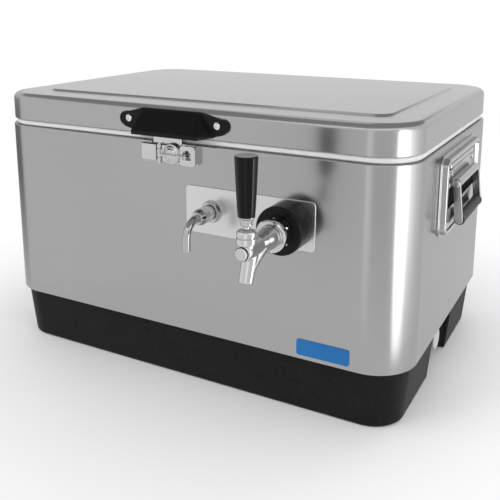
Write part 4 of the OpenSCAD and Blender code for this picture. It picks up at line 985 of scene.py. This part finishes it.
# The frame on the lid handle's sloping face: half widths and (z, out) at the slope's top and foot, the
# frame's margins and corners, and its bar
lidFrame = {"topHalf": 43.0, "lowHalf": 48.0, "top": (358.5, 1.0), "low": (332.5, 21.0), "margin": 4.2,
            "topMargin": 2.7, "cornerR": 2.5, "bar": 1.5, "proud": 0.55, "sunk": 0.6, "barR": 0.35}


# A raised bar carried round an outline that is laid out in (across, down the slope)
def makeLidFrame(s):
    (z0, out0), (z1, out1) = s["top"], s["low"]
    length = math.hypot(z1 - z0, out1 - out0)
    downZ, downOut = (z1 - z0) / length, (out1 - out0) / length
    wide = lambda d: s["topHalf"] + (s["lowHalf"] - s["topHalf"]) * d / length - s["margin"]
    near, far, r = s["topMargin"], length - s["margin"], s["cornerR"]
    outline = rounded([(-wide(near), -near, r), (-wide(far), -far, r), (wide(far), -far, r),
                       (wide(near), -near, r)], closed=True)
    b, h, barR = s["bar"], s["proud"], s["barR"]
    section = rounded([(0, -s["sunk"], 0), (0, h, barR), (b, h, barR), (b, -s["sunk"], 0)], steps=3)

    def place(g):
        z = z0 - g[..., 1] * downZ + g[..., 2] * downOut
        out = out0 - g[..., 1] * downOut - g[..., 2] * downZ
        return np.stack([g[..., 0], frontY - out, z], -1)

    settle(sweepOutline("lidHandleFrame", outline, section, place), "lid", "black_plastic")


makeLidFrame(lidFrame)
dress("lid_handle", "lid", "black_plastic", 1.1, segments=4)
dress("lid_handle_screws", "lid", "screw_steel", 0.35)

# The latch's lever; rings has corners of (share of the dome's radius, height, rounding)
latch = {"z": 304.5, "domeX": 0.5, "domeR": 13.2, "pinX": -17.0, "pinOut": 5.0, "pinR": 1.6, "eyeR": 3.2,
         "eyeHalf": 5.1, "finHalf": 0.9, "finEnd": 28.0,
         "wing": (-45.0, -21.5), "wingHalf": 11.2, "wingOut": 6.6,
         "rings": ((0, 3, 0), (1, 3, 0.6), (1, 6.2, 1.6), (0.86, 7, 0.6), (0.8, 6.4, 0.5), (0.64, 7.7, 0.6),
                   (0.57, 7.1, 0.5), (0.4, 8.6, 1.2), (0.2, 9, 2), (0, 9, 0))}


# The lever: a dome with pressed rings, a palm behind it, a level fin across it, and an arm with the pin's eye
def makeLatchLever(s):
    domeR, x, z, fin = s["domeR"], s["domeX"], s["z"], s["finHalf"]
    eye, eyeR, pinR = s["eyeHalf"], s["eyeR"], s["pinR"]
    front = onFront(0, z)
    rings = rounded(np.array(s["rings"]) * (domeR, 1, 1), steps=5)
    ear = rounded([(pinR, -eye, 0), (eyeR, -eye, 0.4), (eyeR, eye, 0.4), (pinR, eye, 0)], steps=4)
    parts = [lathe("dome", rings, onFront(x, z), sides=96),
             softBox("arm", (s["pinX"], -eye, 3.4), (x, eye, 6.4), 0.8, front),
             softBox("palm", (x - domeR - 0.6, 2.2 - domeR, 3.2), (x, domeR - 2.2, 6.4), 1.4, front),
             softBox("fin", (x - domeR + 1, -fin, 5), (s["finEnd"], fin, 14), 0.7, front),
             lathe("eye", ear, standing(s["pinX"], frontY - s["pinOut"], z), ring=True, sides=32)]
    settle(joined("latchThumbLever", parts), "latch", "latch_steel", "latch_lever")


# A plain raised wing covers the rivets left of the lever's pin
def makeLatchWing(s):
    (left, right), h = s["wing"], s["wingHalf"]
    piece = softBox("latchWing", (left, -h, 0.5), (right, h, s["wingOut"]), 2.2, onFront(0, s["z"]))
    settle(piece, "cooler", "latch_steel")


makeLatchLever(latch)
makeLatchWing(latch)
dress("latch_plate", "cooler", "latch_steel", 0.45, segments=3)
dress("lid_strike", "lid", "latch_steel", 0.3)
dress("latch_rivets", "cooler", "screw_steel", 0.3)
print("lid handle and latch ready")

# The carry handle's plate. A pressing is (half length, low, high, height over the floor, rounding); the dark
# slot and the finger well, flat dark sheets of painted shade, are (half length, low, high)
carryPlate = {"z": 258.0, "half": (94.0, 50.0), "cornerR": 14.0, "floor": 4.0, "rimOut": 9.8, "flange": 2.0,
              "hood": (64, 31.0, 37.5, 3.2, 1.6), "lip": (64, 25.5, 28.2, 1.0, 0.8),
              "apron": (86, -42, -16, 4.6, 2.0), "ribs": 6, "ribSpan": 42, "rib": (4.6, 17.8, 26, 1.0, 0.9),
              "handleSlot": (62, 28.4, 30.8), "fingerWellShade": (83.5, -17, 5.5), "shadeSheetProud": 0.3, "wellR": 0.12}


# The pressed plate: a low flange, a step, a raised rim and a floor, with a hood and ribs above the barrel and
# an apron below it; flat dark sheets of painted shade stand for the slot above the barrel and the finger well
# below it
def makeHandlePlate(s, side, label):
    f, rim, flange, place = s["floor"], s["rimOut"], s["flange"], onEnd(side, s["z"])
    section = rounded([(6, standOff, 0), (0, standOff, 0), (0, flange, 0.9), (2.6, flange, 0.8),
                       (3.6, rim, 1.6), (8.6, rim, 1.6), (10.2, f, 1.2), (16, f, 0)])

    def pressing(name, y, half, low, high, proud, r):
        return softBox(name, (y - half, low, f - 1), (y + half, high, f + proud), r, place)

    parts = [sweepRect("pan", *s["half"], s["cornerR"], section, place, steps=14)]
    parts += [pressing(name, 0, *s[name]) for name in ("hood", "lip")]
    parts += [pressing("rib", y, *s["rib"]) for y in np.linspace(-s["ribSpan"], s["ribSpan"], s["ribs"])]
    parts.append(pressing("apron", 0, *s["apron"]))
    settle(joined("handlePan" + label, parts), "cooler", "handle_steel", "handle_plate_" + label.lower())
    # Flat dark sheets of painted shade stand for the slot and the finger well, which are not cut into the pan
    for name in ("handleSlot", "fingerWellShade"):
        half, low, high = s[name]
        dark = softBox(name + label, (-half, low, f), (half, high, f + s["shadeSheetProud"]), s["wellR"], place)
        settle(dark, "cooler", "seal_rubber")


grip = {"half": 52.5, "r": 7.0, "rodR": 3.1, "z": 224.0, "out": 17.0, "ring": 4.0, "sleeveIn": 0.55,
        "ribHigh": 0.14, "ribPitch": 3.0}


# The grip: a ribbed rubber sleeve between two end rings, turned round its rod
def makeGrip(s, side, label):
    half, r, ring = s["half"], s["r"], s["ring"]
    ends = rounded([(s["rodR"], -half, 0), (r, -half, 1.2), (r, ring - half, 0.5),
                    (r - 0.7, ring + 0.4 - half, 0)], steps=4)
    y = np.linspace(ring + 1 - half, half - ring - 1, 140)
    sleeve = np.stack([r - s["sleeveIn"] + s["ribHigh"] * np.cos(y * 2 * math.pi / s["ribPitch"]), y], -1)
    profile = np.concatenate([ends, sleeve, (ends * [1, -1])[::-1]])
    place = lambda g: np.stack([side * (endX + s["out"] + g[..., 1]), g[..., 2], s["z"] + g[..., 0]], -1)
    piece = lathe("gripSleeve" + label, profile, place, ring=True, sides=48)
    settle(piece, "carry_handle_" + label.lower(), "grip_rubber", "grip_" + label.lower())


for side, label in ((-1, "Left"), (1, "Right")):
    makeHandlePlate(carryPlate, side, label)
    makeGrip(grip, side, label)
    end = label.lower()
    dress("bail_" + end, "carry_handle_" + end, "handle_steel", 0.6)
    dress("handle_barrel_" + end, "cooler", "handle_steel", 0.6)
    dress("handle_pin_" + end, "cooler", "screw_steel", 0.4)
    dress("body_hinge_leaf_" + end, "cooler", "hinge_steel", 0.35)
    dress("lid_hinge_leaf_" + end, "lid", "hinge_steel", 0.35)
dress("handle_rivets", "cooler", "screw_steel", 0.4)
dress("body_hinge_screws", "cooler", "screw_steel", 0.3)
dress("lid_hinge_screws", "lid", "screw_steel", 0.3)
print("carry handles and hinges ready")

dress("drain_cap", "drain_stopper", "drain_plastic", 0.3)
dress("drain_nut", "cooler", "drain_plastic", 0.4)
print("drain ready")
